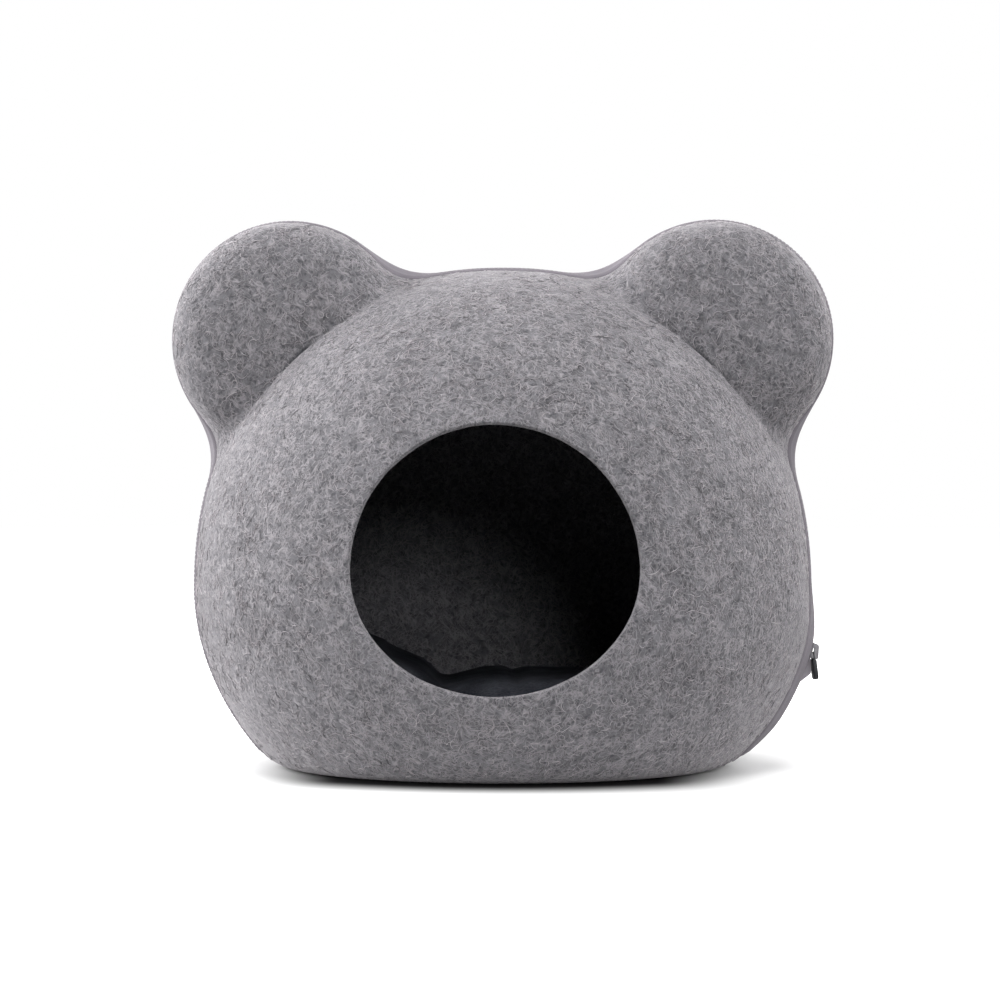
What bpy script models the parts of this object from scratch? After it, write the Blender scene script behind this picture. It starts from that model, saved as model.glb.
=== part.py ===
"""A felt cat cave: two moulded felt shells joined by a zip, with a loose cushion on the floor inside.

The front faces -Y, +X is to the right seen from the front, and the base stands on z = 0.
Both shells follow one surface about the body's centre: a rounded body, two flat-faced round ears
that blend into it, and a flat base. Each piece of the zip follows the same surface, a little outside.
"""

import math

import bmesh
import bpy
import numpy as np

# Driving sizes, in metres and degrees.

# The body, measured from its centre. The entrance takes the tip off the front, so both halves
# reach equally far from the seam.
CENTRE_Z = 0.129
BODY_HALF_WIDTH = 0.2242
BODY_RISE = 0.2340
BODY_DROP = 0.1955
FRONT_DEPTH = 0.1840
BACK_DEPTH = 0.1731
UPPER_ROUNDNESS = 2.17
LOWER_ROUNDNESS = 1.93
BASE_EDGE = 0.010

# The ears, flat pillows that stand out of the body.
EAR_OUT = 0.1545
EAR_UP = 0.1830
EAR_RADIUS = 0.0855
EAR_DEPTH = 0.0620
EAR_ROUNDNESS = 3.6

# The blend between an ear and the body: wide at the seam, a crease on the ear's face.
BLEND_AT_SEAM = 0.025
BLEND_AT_FACE = 0.006
BLEND_RUN = 0.048

# The felt, and the slit between the shells.
FELT = 0.0045
SEAM_SLIT = 0.0012

# The entrance, a round hole that is flatter below than above.
HOLE_CENTRE_Z = 0.1483
HOLE_HALF_WIDTH = 0.0997
HOLE_RISE = 0.0989
HOLE_DROP = 0.0866

# The zip. It bridges the necks in a wider blend than the felt, and stands proud low on the right.
TOUCH = 0.00045
TAPE = 0.0009
TAPE_INNER_Y = 0.00235
TAPE_OUTER_Y = 0.0135
TAPE_BLEND = 0.038
TAPE_BLEND_OUTER = 0.003
COIL = 0.00145
COIL_HALF_WIDTH = 0.0020
PROUD = 0.0030

# The felt itself bulges a little low on the right, where the zip ends.
BULGE = 0.0030
BULGE_REACH = 0.060
BULGE_FROM = (-3.0, -12.0)
BULGE_TO = (-30.0, -36.0)

# The slider, its pull and the tape's loose end.
SLIDER_ANGLE = -10.9
SLIDER_LIFT = 0.00035
SLIDER_SIZE = (0.0014, 0.0092, 0.0120)
BRIDGE_HEIGHT = 0.0112
BRIDGE_WIDTH = 0.0030
BRIDGE_BAR = 0.0016
BRIDGE_GAP = 0.0026
PULL_LENGTH = 0.0215
PULL_WIDTH = 0.0076
PULL_THICK = 0.0024
PULL_EYE = (0.0044, 0.0046)
PULL_BAR = 0.0014
PULL_CLEAR = 0.0007
PULL_CORNER = 0.0016
PULL_LEAN = 6.0
TAB_THICK = 0.0020
TAB_ANGLES = (-18.3, -14.5)

# The cushion, a filled pad whose left end rides up the wall.
CUSHION_LEFT = 0.194
CUSHION_RIGHT = 0.172
CUSHION_HALF_WIDTH = 0.130
CUSHION_PLAN_ROUNDNESS = 2.2
CUSHION_CROWN = 0.038
CUSHION_RIM = 0.025
CUSHION_EDGE_ROUNDNESS = 5.0
CUSHION_CLEAR = 0.0004
RIDE_UP = 0.050
RIDE_FROM = (-0.044, -0.150)

# How finely the surfaces are divided: the edges of the slices, as distances from the seam, and the
# columns in each stretch of a slice, from the middle of the base up one side to the top.
EAR_SLICES = (0.0145, 0.030, 0.044, 0.053, 0.0595)
FRONT_SLICES = (0.064, 0.092, 0.118, 0.133, 0.148)
BACK_SLICES = (0.064, 0.092, 0.118, 0.133, 0.148, 0.160, 0.168)
COLUMNS = {"base": 6, "side": 9, "ear": 13, "top": 4}
LOWEST_BASE_ANGLE = -66.0
CUSHION_COLUMNS = 32
CUSHION_RINGS = (1.0, 0.985, 0.94, 0.86, 0.72, 0.54, 0.36, 0.18)


def clear_scene():
    """Removes every object that the scene starts with."""
    for obj in list(bpy.data.objects):
        bpy.data.objects.remove(obj, do_unlink=True)


def material(name, color, roughness, metallic=0.0):
    """A plain Principled material."""
    made = bpy.data.materials.new(name)
    made.use_nodes = True
    shader = made.node_tree.nodes["Principled BSDF"]
    shader.inputs["Base Color"].default_value = (*color, 1.0)
    shader.inputs["Roughness"].default_value = roughness
    shader.inputs["Metallic"].default_value = metallic
    return made


def add_object(name, mesh_builder, finish, location, parent):
    """Wraps a filled bmesh as a smooth-shaded object under the parent empty."""
    mesh = bpy.data.meshes.new(name)
    bmesh.ops.recalc_face_normals(mesh_builder, faces=mesh_builder.faces)
    mesh_builder.to_mesh(mesh)
    mesh_builder.free()
    mesh.materials.append(finish)
    mesh.shade_smooth()
    mesh.set_sharp_from_angle(angle=math.radians(35))
    obj = bpy.data.objects.new(name, mesh)
    obj.location = location
    obj.parent = parent
    bpy.context.scene.collection.objects.link(obj)
    return obj


def thicken(obj, thickness, outward):
    """Gives an open surface its thickness, on the outer or the inner side."""
    solid = obj.modifiers.new("thickness", "SOLIDIFY")
    solid.thickness = thickness
    solid.offset = 1.0 if outward else -1.0
    solid.use_even_offset = False
    solid.use_rim = True


# The surface: distances are measured from the body's centre, and are positive outside.


def smooth_step(value, start, end):
    """0 at start, 1 at end, with no corner at either."""
    t = np.clip((value - start) / (end - start), 0.0, 1.0)
    return t * t * (3.0 - 2.0 * t)


def blend_less(a, b, width):
    """The lesser of a and b, rounded over a width where they are near each other."""
    t = np.clip(0.5 + 0.5 * (b - a) / width, 0.0, 1.0)
    return b * (1.0 - t) + a * t - width * t * (1.0 - t)


def body_level(x, z):
    """1 on the body's outline in the seam plane, less inside it."""
    upper = z >= 0.0
    half_height = np.where(upper, BODY_RISE, BODY_DROP)
    power = np.where(upper, UPPER_ROUNDNESS, LOWER_ROUNDNESS)
    across = (np.abs(x) / BODY_HALF_WIDTH) ** power
    return (across + (np.abs(z) / half_height) ** power) ** (1.0 / power)


def low_right(angles):
    """1 along the stretch of the outline low on the right, 0 elsewhere, with soft ends."""
    degrees = np.degrees(angles)
    return smooth_step(degrees, *BULGE_FROM) * (1.0 - smooth_step(degrees, *BULGE_TO))


def body_distance(x, y, z):
    """How far a point is outside the body, along its ray from the centre."""
    depth = np.where(y < 0.0, -y / FRONT_DEPTH, y / BACK_DEPTH)
    level = np.hypot(body_level(x, z), depth)
    bulge = BULGE * low_right(np.arctan2(z, x)) * smooth_step(np.abs(y), BULGE_REACH, 0.0)
    return np.sqrt(x * x + y * y + z * z) * (1.0 - 1.0 / level) - bulge


def ear_distance(x, y, z):
    """How far a point is outside the ear on its side, along its ray from the ear's centre."""
    out = np.hypot(np.abs(x) - EAR_OUT, z - EAR_UP)
    level = (out / EAR_RADIUS) ** EAR_ROUNDNESS + (np.abs(y) / EAR_DEPTH) ** EAR_ROUNDNESS
    level = np.maximum(level, 1e-9) ** (1.0 / EAR_ROUNDNESS)
    return np.hypot(out, y) * (1.0 - 1.0 / level)


def felt_blend(y):
    """The width of the blend between an ear and the body at a distance from the seam."""
    return BLEND_AT_SEAM + (BLEND_AT_FACE - BLEND_AT_SEAM) * smooth_step(np.abs(y), 0.0, BLEND_RUN)


def tape_blend(y):
    """The same for the zip, which bridges the neck at its teeth and lies on the felt at its edge."""
    edge = felt_blend(y) + TAPE_BLEND_OUTER
    return TAPE_BLEND + (edge - TAPE_BLEND) * smooth_step(np.abs(y), TAPE_INNER_Y, TAPE_OUTER_Y)


def outside(points, blend):
    """How far points are outside the shells, whose base is flat at z = -CENTRE_Z."""
    x, y, z = points[..., 0], points[..., 1], points[..., 2]
    shell = blend_less(body_distance(x, y, z), ear_distance(x, y, z), blend(y))
    return -blend_less(-shell, z + CENTRE_Z, BASE_EDGE)


def on_slice(angles, y, height=0.0, blend=felt_blend):
    """The points of a slice's outline, a height outside the shells, at angles about the Y axis."""
    around = np.stack([np.cos(angles), np.zeros_like(angles), np.sin(angles)], axis=-1)
    slice_at = np.array([0.0, y, 0.0])
    low = np.zeros_like(angles)
    high = np.full_like(angles, 2.0 * BODY_RISE)
    for _ in range(40):
        middle = (low + high) / 2.0
        is_out = outside(slice_at + around * middle[..., None], blend) > height
        high = np.where(is_out, middle, high)
        low = np.where(is_out, low, middle)
    return slice_at + around * high[..., None]


def ear_lead(points):
    """How much further inside the ear than inside the body points are; 0 where the two meet."""
    x, y, z = points[..., 0], points[..., 1], points[..., 2]
    return body_distance(x, y, z) - ear_distance(x, y, z)


# The grid: slices at a distance from the seam, and columns that keep to the base's corner and the necks.


def slice_anchors(y):
    """The angles where a slice's stretches end: base's middle, base's corner, both necks, top."""
    reach = min(abs(y), EAR_SLICES[-1])
    angles = np.radians(np.linspace(-90.0, 90.0, 3601))
    outline = on_slice(angles, math.copysign(reach, y))
    on_ear = angles[ear_lead(outline) > 0.0]
    heights = on_slice(angles, y)[:, 2] + CENTRE_Z
    corner = angles[np.argmax(heights > BASE_EDGE / 2.0)]
    corner = max(corner, math.radians(LOWEST_BASE_ANGLE))
    return [angles[0], corner, on_ear[0], on_ear[-1], angles[-1]]


def spread(start, end, y, count):
    """Angles from start to end, evenly spaced along a slice's outline."""
    fine = np.linspace(start, end, 801)
    steps = np.linalg.norm(np.diff(on_slice(fine, y), axis=0), axis=1)
    along = np.concatenate([[0.0], np.cumsum(steps)])
    return np.interp(np.linspace(0.0, along[-1], count + 1), along, fine)


def slice_angles(y):
    """The columns' angles once round a slice, from the middle of the base up the right side."""
    anchors = slice_anchors(y)
    runs = [spread(*ends, y, count) for *ends, count in zip(anchors, anchors[1:], COLUMNS.values())]
    right = np.concatenate([run[:-1] for run in runs] + [anchors[-1:]])
    left = math.pi - right[-2:0:-1]
    return np.concatenate([right, left])


def shell_rings(side, slices):
    """A shell's rings of points from the seam inward; side is -1 for the front, 1 for the back."""
    distances = (SEAM_SLIT / 2.0,) + EAR_SLICES + slices
    return [on_slice(slice_angles(side * y), side * y) for y in distances]


def hole_edge():
    """The points of the entrance's outer edge, one for each column."""
    angles = slice_angles(-FRONT_SLICES[-1])
    rise = np.where(np.sin(angles) >= 0.0, HOLE_RISE, HOLE_DROP)
    x = HOLE_HALF_WIDTH * np.cos(angles)
    z = HOLE_CENTRE_Z - CENTRE_Z + rise * np.sin(angles)
    return np.stack([x, -FRONT_DEPTH * np.sqrt(1.0 - body_level(x, z) ** 2), z], axis=-1)


def loft(rings, closed, pole=None):
    """A surface through rings of points, closed round or open, and gathered at a pole if one is given."""
    made = bmesh.new()
    verts = [made.verts.new(point) for point in rings[0]]
    ends = verts[1:] + verts[:1] if closed else verts[1:]
    edges = [made.edges.new(pair) for pair in zip(verts, ends)]
    for ring in rings[1:]:
        verts, edges = extrude_row(made, verts, edges)
        for vert, point in zip(verts, ring):
            vert.co = point
    if pole is not None:
        verts, edges = extrude_row(made, verts, edges)
        bmesh.ops.pointmerge(made, verts=verts, merge_co=pole)
    return made


def extrude_row(made, verts, edges):
    """Extrudes a row of edges, and gives the new row in the old one's order."""
    result = bmesh.ops.extrude_edge_only(made, edges=edges)["geom"]
    fresh = {item for item in result if isinstance(item, bmesh.types.BMVert)}
    row = []
    for vert in verts:
        beside = [edge.other_vert(vert) for edge in vert.link_edges]
        row.append(next(other for other in beside if other in fresh))
    new_edges = [item for item in result if isinstance(item, bmesh.types.BMEdge)]
    return row, [edge for edge in new_edges if set(edge.verts) <= fresh]


# The felt shells.


def build_front_shell(felt, parent):
    """The front half, open at the entrance."""
    rings = shell_rings(-1.0, FRONT_SLICES) + [hole_edge()]
    surface = loft(rings, closed=True)
    obj = add_object("front_shell", surface, felt, (0.0, 0.0, CENTRE_Z), parent)
    thicken(obj, FELT, outward=False)


def build_back_shell(felt, parent):
    """The back half, whole."""
    surface = loft(shell_rings(1.0, BACK_SLICES), closed=True, pole=(0.0, BACK_DEPTH, 0.0))
    obj = add_object("back_shell", surface, felt, (0.0, 0.0, CENTRE_Z), parent)
    thicken(obj, FELT, outward=False)


# The zip.


def zip_angles(y):
    """The columns that the zip covers in a slice, from the right-hand corner to the left-hand one."""
    base = COLUMNS["base"]
    return slice_angles(y)[base : 2 * sum(COLUMNS.values()) - base + 1]


def zip_ring(angles, y, lift=0.0):
    """Points over the seam at a distance y from it and a lift above the zip's underside."""
    share = 1.0 - smooth_step(abs(y), TAPE_INNER_Y, TAPE_OUTER_Y)
    under = on_slice(angles, y, TOUCH, tape_blend)
    away = under * [1.0, 0.0, 1.0]
    away /= np.linalg.norm(away, axis=-1, keepdims=True)
    return under + away * (lift + share * PROUD * low_right(angles))[..., None]


def build_tape(name, side, cloth, parent):
    """One of the two tapes; side is -1 in front of the seam and 1 behind it."""
    inner = zip_ring(zip_angles(side * SEAM_SLIT / 2.0), side * TAPE_INNER_Y)
    outer = zip_ring(zip_angles(side * EAR_SLICES[0]), side * TAPE_OUTER_Y)
    obj = add_object(name, loft([inner, outer], closed=False), cloth, (0.0, 0.0, CENTRE_Z), parent)
    face_out(obj)
    thicken(obj, TAPE, outward=True)


def face_out(obj):
    """Turns an open surface's faces away from the centre that it is built about."""
    mesh = obj.data
    facing = sum(face.normal.dot(face.center) * face.area for face in mesh.polygons)
    if facing < 0.0:
        mesh.flip_normals()


def build_coil(plastic, parent):
    """The closed teeth, from the left-hand corner to the slider."""
    angles = zip_angles(SEAM_SLIT / 2.0)
    first = slider_span()
    angles = np.concatenate([first, angles[angles > first[-1] + SLIDER_SIZE[2] / BODY_HALF_WIDTH]])
    rings = [zip_ring(angles, y) for y in (-COIL_HALF_WIDTH, COIL_HALF_WIDTH)]
    obj = add_object("zip_coil", loft(rings, closed=False), plastic, (0.0, 0.0, CENTRE_Z), parent)
    face_out(obj)
    thicken(obj, COIL, outward=True)


def box_at(made, size, middle):
    """Adds a box of a size about its middle."""
    verts = bmesh.ops.create_cube(made, size=1.0)["verts"]
    bmesh.ops.scale(made, vec=size, verts=verts)
    bmesh.ops.translate(made, vec=middle, verts=verts)
    return verts


def plate(made, outline, thickness, axis):
    """Adds a flat polygon and extrudes it along an axis, centred on it."""
    half = [thickness / 2.0 * step for step in axis]
    verts = [made.verts.new([c - h for c, h in zip(point, half)]) for point in outline]
    face = made.faces.new(verts)
    result = bmesh.ops.extrude_face_region(made, geom=[face])["geom"]
    top = [item for item in result if isinstance(item, bmesh.types.BMVert)]
    bmesh.ops.translate(made, vec=[2.0 * h for h in half], verts=top)


def slider_span():
    """The angles of the slider's lower and upper end."""
    half = SLIDER_SIZE[2] / 2.0 / BODY_HALF_WIDTH
    return math.radians(SLIDER_ANGLE) + np.array([-half, half])


def slider_seat():
    """The middle of the teeth's outer face under the slider, and the slider's tilt about Y."""
    low, high = zip_ring(slider_span(), 0.0, COIL)
    return (low + high) / 2.0, math.atan2(high[0] - low[0], high[2] - low[2])


def seat_location():
    """Where the slider's plate lies on the teeth, in the cave's frame."""
    seat, tilt = slider_seat()
    return seat + [SLIDER_LIFT * math.cos(tilt), 0.0, CENTRE_Z - SLIDER_LIFT * math.sin(tilt)]


def add_helper(made, name, metal, location, turn, parent):
    """A cutter or an addition for a Boolean, which isn't a piece itself."""
    helper = add_object(name, made, metal, location, parent)
    helper.rotation_euler.y = turn
    helper.hide_render = True
    helper.display_type = "WIRE"
    return helper


def combine(obj, helper, operation):
    """Joins the helper to the object, or cuts it away."""
    boolean = obj.modifiers.new(operation.lower(), "BOOLEAN")
    boolean.operation = operation
    boolean.solver = "EXACT"
    boolean.object = helper


def build_slider(metal, parent):
    """The slider's plate and its bridge, in one piece. Locally +X points away from the cave."""
    thick = SLIDER_SIZE[0]
    _, tilt = slider_seat()
    made = bmesh.new()
    box_at(made, SLIDER_SIZE, (thick / 2.0, 0.0, 0.0))
    bmesh.ops.bevel(
        made, geom=made.edges[:], offset=0.0004, segments=1, affect="EDGES", profile=0.5, material=-1
    )
    obj = add_object("zip_slider", made, metal, seat_location(), parent)
    obj.rotation_euler.y = tilt
    foot, top = thick / 2.0, thick + BRIDGE_GAP + BRIDGE_BAR
    half, bar = BRIDGE_HEIGHT / 2.0, BRIDGE_BAR
    outline = [
        (foot, 0.0, -half),
        (top - bar, 0.0, -half),
        (top, 0.0, bar - half),
        (top, 0.0, half - bar),
        (top - bar, 0.0, half),
        (foot, 0.0, half),
        (foot, 0.0, half - bar),
        (top - bar, 0.0, half - bar),
        (top - bar, 0.0, bar - half),
        (foot, 0.0, bar - half),
    ]
    bridge = bmesh.new()
    plate(bridge, outline, BRIDGE_WIDTH, (0.0, 1.0, 0.0))
    combine(obj, add_helper(bridge, "bridge", metal, seat_location(), tilt, parent), "UNION")


def pull_location():
    """The middle of the pull's bar, low in the bridge's gap."""
    _, tilt = slider_seat()
    out = SLIDER_SIZE[0] + BRIDGE_GAP / 2.0
    down = BRIDGE_HEIGHT / 2.0 - BRIDGE_BAR - PULL_BAR / 2.0 - PULL_CLEAR
    across = out * math.cos(tilt) - down * math.sin(tilt)
    return seat_location() + [across, 0.0, -out * math.sin(tilt) - down * math.cos(tilt)]


def build_pull(metal, parent):
    """The pull, a flat tab whose eye goes round the bridge's lower leg. It hangs from its bar."""
    wide, bar, corner = PULL_WIDTH / 2.0, PULL_BAR / 2.0, PULL_CORNER
    end = bar - PULL_LENGTH
    outline = [
        (0.0, -wide, end + corner),
        (0.0, corner - wide, end),
        (0.0, wide - corner, end),
        (0.0, wide, end + corner),
        (0.0, wide, bar),
        (0.0, -wide, bar),
    ]
    made = bmesh.new()
    plate(made, outline, PULL_THICK, (1.0, 0.0, 0.0))
    for vert in made.verts:
        if vert.co.z > 0.0:
            vert.co.x *= PULL_BAR / PULL_THICK
    lean = math.radians(-PULL_LEAN)
    obj = add_object("zip_pull", made, metal, pull_location(), parent)
    obj.rotation_euler.y = lean
    eye = bmesh.new()
    box_at(eye, (4.0 * PULL_THICK, *PULL_EYE), (0.0, 0.0, -bar - PULL_EYE[1] / 2.0))
    combine(obj, add_helper(eye, "eye", metal, pull_location(), lean, parent), "DIFFERENCE")


def build_end_tab(cloth, parent):
    """The loose end of the zip's tape, folded double and standing off below the slider."""
    seat, _ = slider_seat()
    low, high = on_slice(np.radians(TAB_ANGLES), 0.0, TOUCH)
    outline = [
        low,
        high,
        seat + [-0.0012, 0.0, -0.0085],
        seat + [0.0000, 0.0, -0.0120],
        seat + [0.0003, 0.0, -0.0165],
        low + [0.0045, 0.0, 0.0010],
    ]
    made = bmesh.new()
    plate(made, outline, TAB_THICK, (0.0, 1.0, 0.0))
    add_object("zip_end_tab", made, cloth, (0.0, 0.0, CENTRE_Z), parent)


# The cushion.


def cushion_rings():
    """Rings of the cushion's top, from its rim inward, with the matching bottom rings."""
    angles = np.linspace(0.0, 2.0 * math.pi, CUSHION_COLUMNS, endpoint=False)
    power = 2.0 / CUSHION_PLAN_ROUNDNESS
    half_length = np.where(np.cos(angles) < 0.0, -CUSHION_LEFT, CUSHION_RIGHT)
    plan_x = half_length * np.abs(np.cos(angles)) ** power
    plan_y = CUSHION_HALF_WIDTH * np.sign(np.sin(angles)) * np.abs(np.sin(angles)) ** power
    tops, bottoms = [], []
    for share in CUSHION_RINGS:
        fill = math.sqrt(max(0.0, 1.0 - share**CUSHION_EDGE_ROUNDNESS))
        x, y = plan_x * share, plan_y * share
        ride = RIDE_UP * smooth_step(x, *RIDE_FROM)
        rim = CUSHION_RIM + ride
        tops.append(np.stack([x, y, rim + CUSHION_CROWN * fill], axis=-1))
        bottoms.append(np.stack([x, y, rim * (1.0 - fill)], axis=-1))
    return tops, bottoms


def build_cushion(cloth, parent):
    """The filled pad: crowned on top, drawn in at its edge, flat where it lies on the felt."""
    tops, bottoms = cushion_rings()
    rings = bottoms[:0:-1] + tops
    pole_top = (0.0, 0.0, CUSHION_RIM + CUSHION_CROWN)
    made = loft(rings, closed=True, pole=pole_top)
    rim = [edge for edge in made.edges if edge.is_boundary]
    bmesh.ops.contextual_create(made, geom=rim)
    add_object("cushion", made, cloth, (0.0, 0.0, FELT + CUSHION_CLEAR), parent)


def main():
    """Builds the whole cave."""
    clear_scene()
    cave = bpy.data.objects.new("cat_cave", None)
    bpy.context.scene.collection.objects.link(cave)
    felt = material("grey_felt", (0.235, 0.230, 0.240), 0.95)
    tape = material("zip_tape", (0.330, 0.310, 0.330), 0.85)
    coil = material("zip_coil", (0.200, 0.190, 0.200), 0.55)
    slider = material("grey_metal", (0.210, 0.205, 0.215), 0.40, metallic=0.6)
    pull = material("dark_metal", (0.035, 0.037, 0.040), 0.45, metallic=0.5)
    navy = material("navy_cloth", (0.020, 0.022, 0.026), 0.75)
    build_front_shell(felt, cave)
    build_back_shell(felt, cave)
    build_tape("zip_tape_front", -1.0, tape, cave)
    build_tape("zip_tape_back", 1.0, tape, cave)
    build_coil(coil, cave)
    build_slider(slider, cave)
    build_pull(pull, cave)
    build_end_tab(tape, cave)
    build_cushion(navy, cave)


main()
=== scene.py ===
"""The looks of a felt cat cave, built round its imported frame.

The front faces -Y, +X is to the right seen from the front, and the base stands on z = 0. Both felt
shells, the zip and the loose fibres follow one surface about the body's centre. Lengths are in metres.
"""

import logging
import math
from collections.abc import Callable
from dataclasses import dataclass, field
from enum import Enum
from functools import cached_property

import bmesh
import bpy
import numpy as np
from mathutils import Matrix, Vector, noise


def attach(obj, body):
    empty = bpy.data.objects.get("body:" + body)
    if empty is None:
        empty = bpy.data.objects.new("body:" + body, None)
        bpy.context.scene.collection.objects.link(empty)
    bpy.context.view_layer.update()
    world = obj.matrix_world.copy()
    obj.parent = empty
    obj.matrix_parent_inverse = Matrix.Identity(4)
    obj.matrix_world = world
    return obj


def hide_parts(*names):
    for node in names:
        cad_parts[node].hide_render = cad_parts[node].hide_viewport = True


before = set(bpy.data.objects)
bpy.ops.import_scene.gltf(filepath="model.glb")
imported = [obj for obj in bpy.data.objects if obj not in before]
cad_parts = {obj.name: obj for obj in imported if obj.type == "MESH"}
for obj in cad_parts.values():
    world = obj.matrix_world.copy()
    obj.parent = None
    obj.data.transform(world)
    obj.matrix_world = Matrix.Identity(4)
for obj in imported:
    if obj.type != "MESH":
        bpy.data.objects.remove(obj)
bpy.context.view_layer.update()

LOG = logging.getLogger("cat_cave")
Colour = tuple[float, float, float, float]
Point = tuple[float, float, float]
Socket = bpy.types.NodeSocket
Material = bpy.types.Material
Object = bpy.types.Object
Shape = bmesh.types.BMesh

# A Mix node's sockets for colours. Its others are for numbers and vectors.
MIX_SHARE, MIX_FIRST, MIX_SECOND, MIX_RESULT = 0, 6, 7, 2


# Small helpers for colours, node trees and meshes.


def display(red: float, green: float, blue: float) -> Colour:
    """Turns an 8-bit display colour into the linear colour that shaders take.

    Args:
        red: From 0 to 255.
        green: From 0 to 255.
        blue: From 0 to 255.

    Returns:
        The linear colour, with an alpha of 1.
    """
    parts = [value / 255.0 for value in (red, green, blue)]
    linear = [part / 12.92 if part <= 0.04045 else ((part + 0.055) / 1.055) ** 2.4 for part in parts]
    return (*linear, 1.0)


def smooth_step(value: np.ndarray, start: float, end: float) -> np.ndarray:
    """Gives 0 at start and 1 at end, with no corner at either."""
    t = np.clip((value - start) / (end - start), 0.0, 1.0)
    return t * t * (3.0 - 2.0 * t)


def unit(vectors: np.ndarray) -> np.ndarray:
    """Gives each vector a length of 1."""
    return vectors / np.linalg.norm(vectors, axis=-1, keepdims=True)


def running(line: np.ndarray) -> np.ndarray:
    """Gives the length of a line of points up to each of them."""
    return np.concatenate([[0.0], np.cumsum(np.linalg.norm(np.diff(line, axis=0), axis=1))])


class Graph:
    """A node tree, with short ways to add nodes and join them."""

    def __init__(self, tree: bpy.types.NodeTree) -> None:
        """Wraps a node tree."""
        self.tree = tree

    def add(self, kind: str, inputs: dict | None = None, **settings: object) -> bpy.types.Node:
        """Adds a node.

        Args:
            kind: The node's type name, without the word Shader that may stand in front.
            inputs: Values or sockets for its inputs, by name or number.
            **settings: The node's own properties.

        Returns:
            The new node.
        """
        node = self.tree.nodes.new(kind if kind.startswith("NodeGroup") else "Shader" + kind)
        for name, value in settings.items():
            setattr(node, name, value)
        self.feed(node, inputs or {})
        return node

    def feed(self, node: bpy.types.Node, values: dict) -> None:
        """Joins sockets to a node's inputs, or sets the inputs to plain values.

        Args:
            node: The node.
            values: The sockets and plain values, by the inputs' names or numbers.
        """
        for name, value in values.items():
            if isinstance(value, Socket):
                self.tree.links.new(value, node.inputs[name])
            else:
                node.inputs[name].default_value = value

    def math(self, operation: str, *values: object, clamp: bool = False) -> Socket:
        """Adds a Math node and gives its result."""
        return self.add("NodeMath", dict(enumerate(values)), operation=operation, use_clamp=clamp).outputs[0]

    def vector_math(self, operation: str, *values: object) -> Socket:
        """Adds a Vector Math node and gives its vector."""
        return self.add("NodeVectorMath", dict(enumerate(values)), operation=operation).outputs[0]

    def measure(self, operation: str, *values: object) -> Socket:
        """Adds a Vector Math node and gives its number."""
        return self.add("NodeVectorMath", dict(enumerate(values)), operation=operation).outputs["Value"]

    def scaled(self, vector: object, by: Socket) -> Socket:
        """Makes a vector longer or shorter, or a colour brighter or darker."""
        return self.add("NodeVectorMath", {0: vector, "Scale": by}, operation="SCALE").outputs[0]

    def ramp(self, value: Socket, start: float, end: float, low: float = 0.0, high: float = 1.0) -> Socket:
        """Carries a value smoothly from one range to another.

        Args:
            value: The value that is read.
            start: Where the range begins.
            end: Where the range ends.
            low: The result at start.
            high: The result at end.

        Returns:
            The result's socket.
        """
        inputs = {"Value": value, "From Min": start, "From Max": end, "To Min": low, "To Max": high}
        return self.add("NodeMapRange", inputs, interpolation_type="SMOOTHSTEP").outputs["Result"]

    def mix(self, share: object, first: object, second: object) -> Socket:
        """Mixes two colours."""
        sockets = {MIX_SHARE: share, MIX_FIRST: first, MIX_SECOND: second}
        return self.add("NodeMix", sockets, data_type="RGBA").outputs[MIX_RESULT]

    def noise(self, vector: Socket, scale: float | Socket, detail: float = 2.0, rough: float = 0.5) -> Socket:
        """Adds a 3-D noise and gives its value."""
        inputs = {"Vector": vector, "Scale": scale, "Detail": detail, "Roughness": rough}
        return self.add("NodeTexNoise", inputs).outputs["Fac"]

    def shifted(self, vector: Socket, by: Point) -> Socket:
        """Moves a pattern's coordinates, so that two layers of it differ."""
        return self.vector_math("ADD", vector, by)

    def bump(self, height: Socket, strength: float, distance: float) -> Socket:
        """Adds a Bump node and gives its normal."""
        return self.add("NodeBump", {"Height": height, "Strength": strength, "Distance": distance}).outputs[0]


class PatternGroup:
    """A shader node group that several finishes share."""

    def __init__(self, name: str, inputs: dict[str, float | None], outputs: tuple[str, ...]) -> None:
        """Makes the empty group.

        Args:
            name: The group's name.
            inputs: Each input's default number, or None for a vector.
            outputs: The names of its outputs, which are plain numbers.
        """
        self.tree = bpy.data.node_groups.new(name, "ShaderNodeTree")
        for label, default in inputs.items():
            kind = "NodeSocketVector" if default is None else "NodeSocketFloat"
            socket = self.tree.interface.new_socket(label, in_out="INPUT", socket_type=kind)
            if default is not None:
                socket.default_value = default
        for label in outputs:
            self.tree.interface.new_socket(label, in_out="OUTPUT", socket_type="NodeSocketFloat")
        self.graph = Graph(self.tree)
        self.given = self.graph.add("NodeGroupInput").outputs
        self.made = self.graph.add("NodeGroupOutput").inputs

    def give(self, label: str, value: Socket) -> None:
        """Joins a socket to one of the group's outputs."""
        self.tree.links.new(value, self.made[label])

    def place(self, graph: Graph, **inputs: object) -> bpy.types.bpy_prop_collection:
        """Places the group in a material and gives its outputs.

        Args:
            graph: The material's graph.
            **inputs: Values or sockets for its inputs.

        Returns:
            The placed group's outputs.
        """
        node = graph.tree.nodes.new("ShaderNodeGroup")
        node.node_tree = self.tree
        graph.feed(node, inputs)
        return node.outputs


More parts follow.
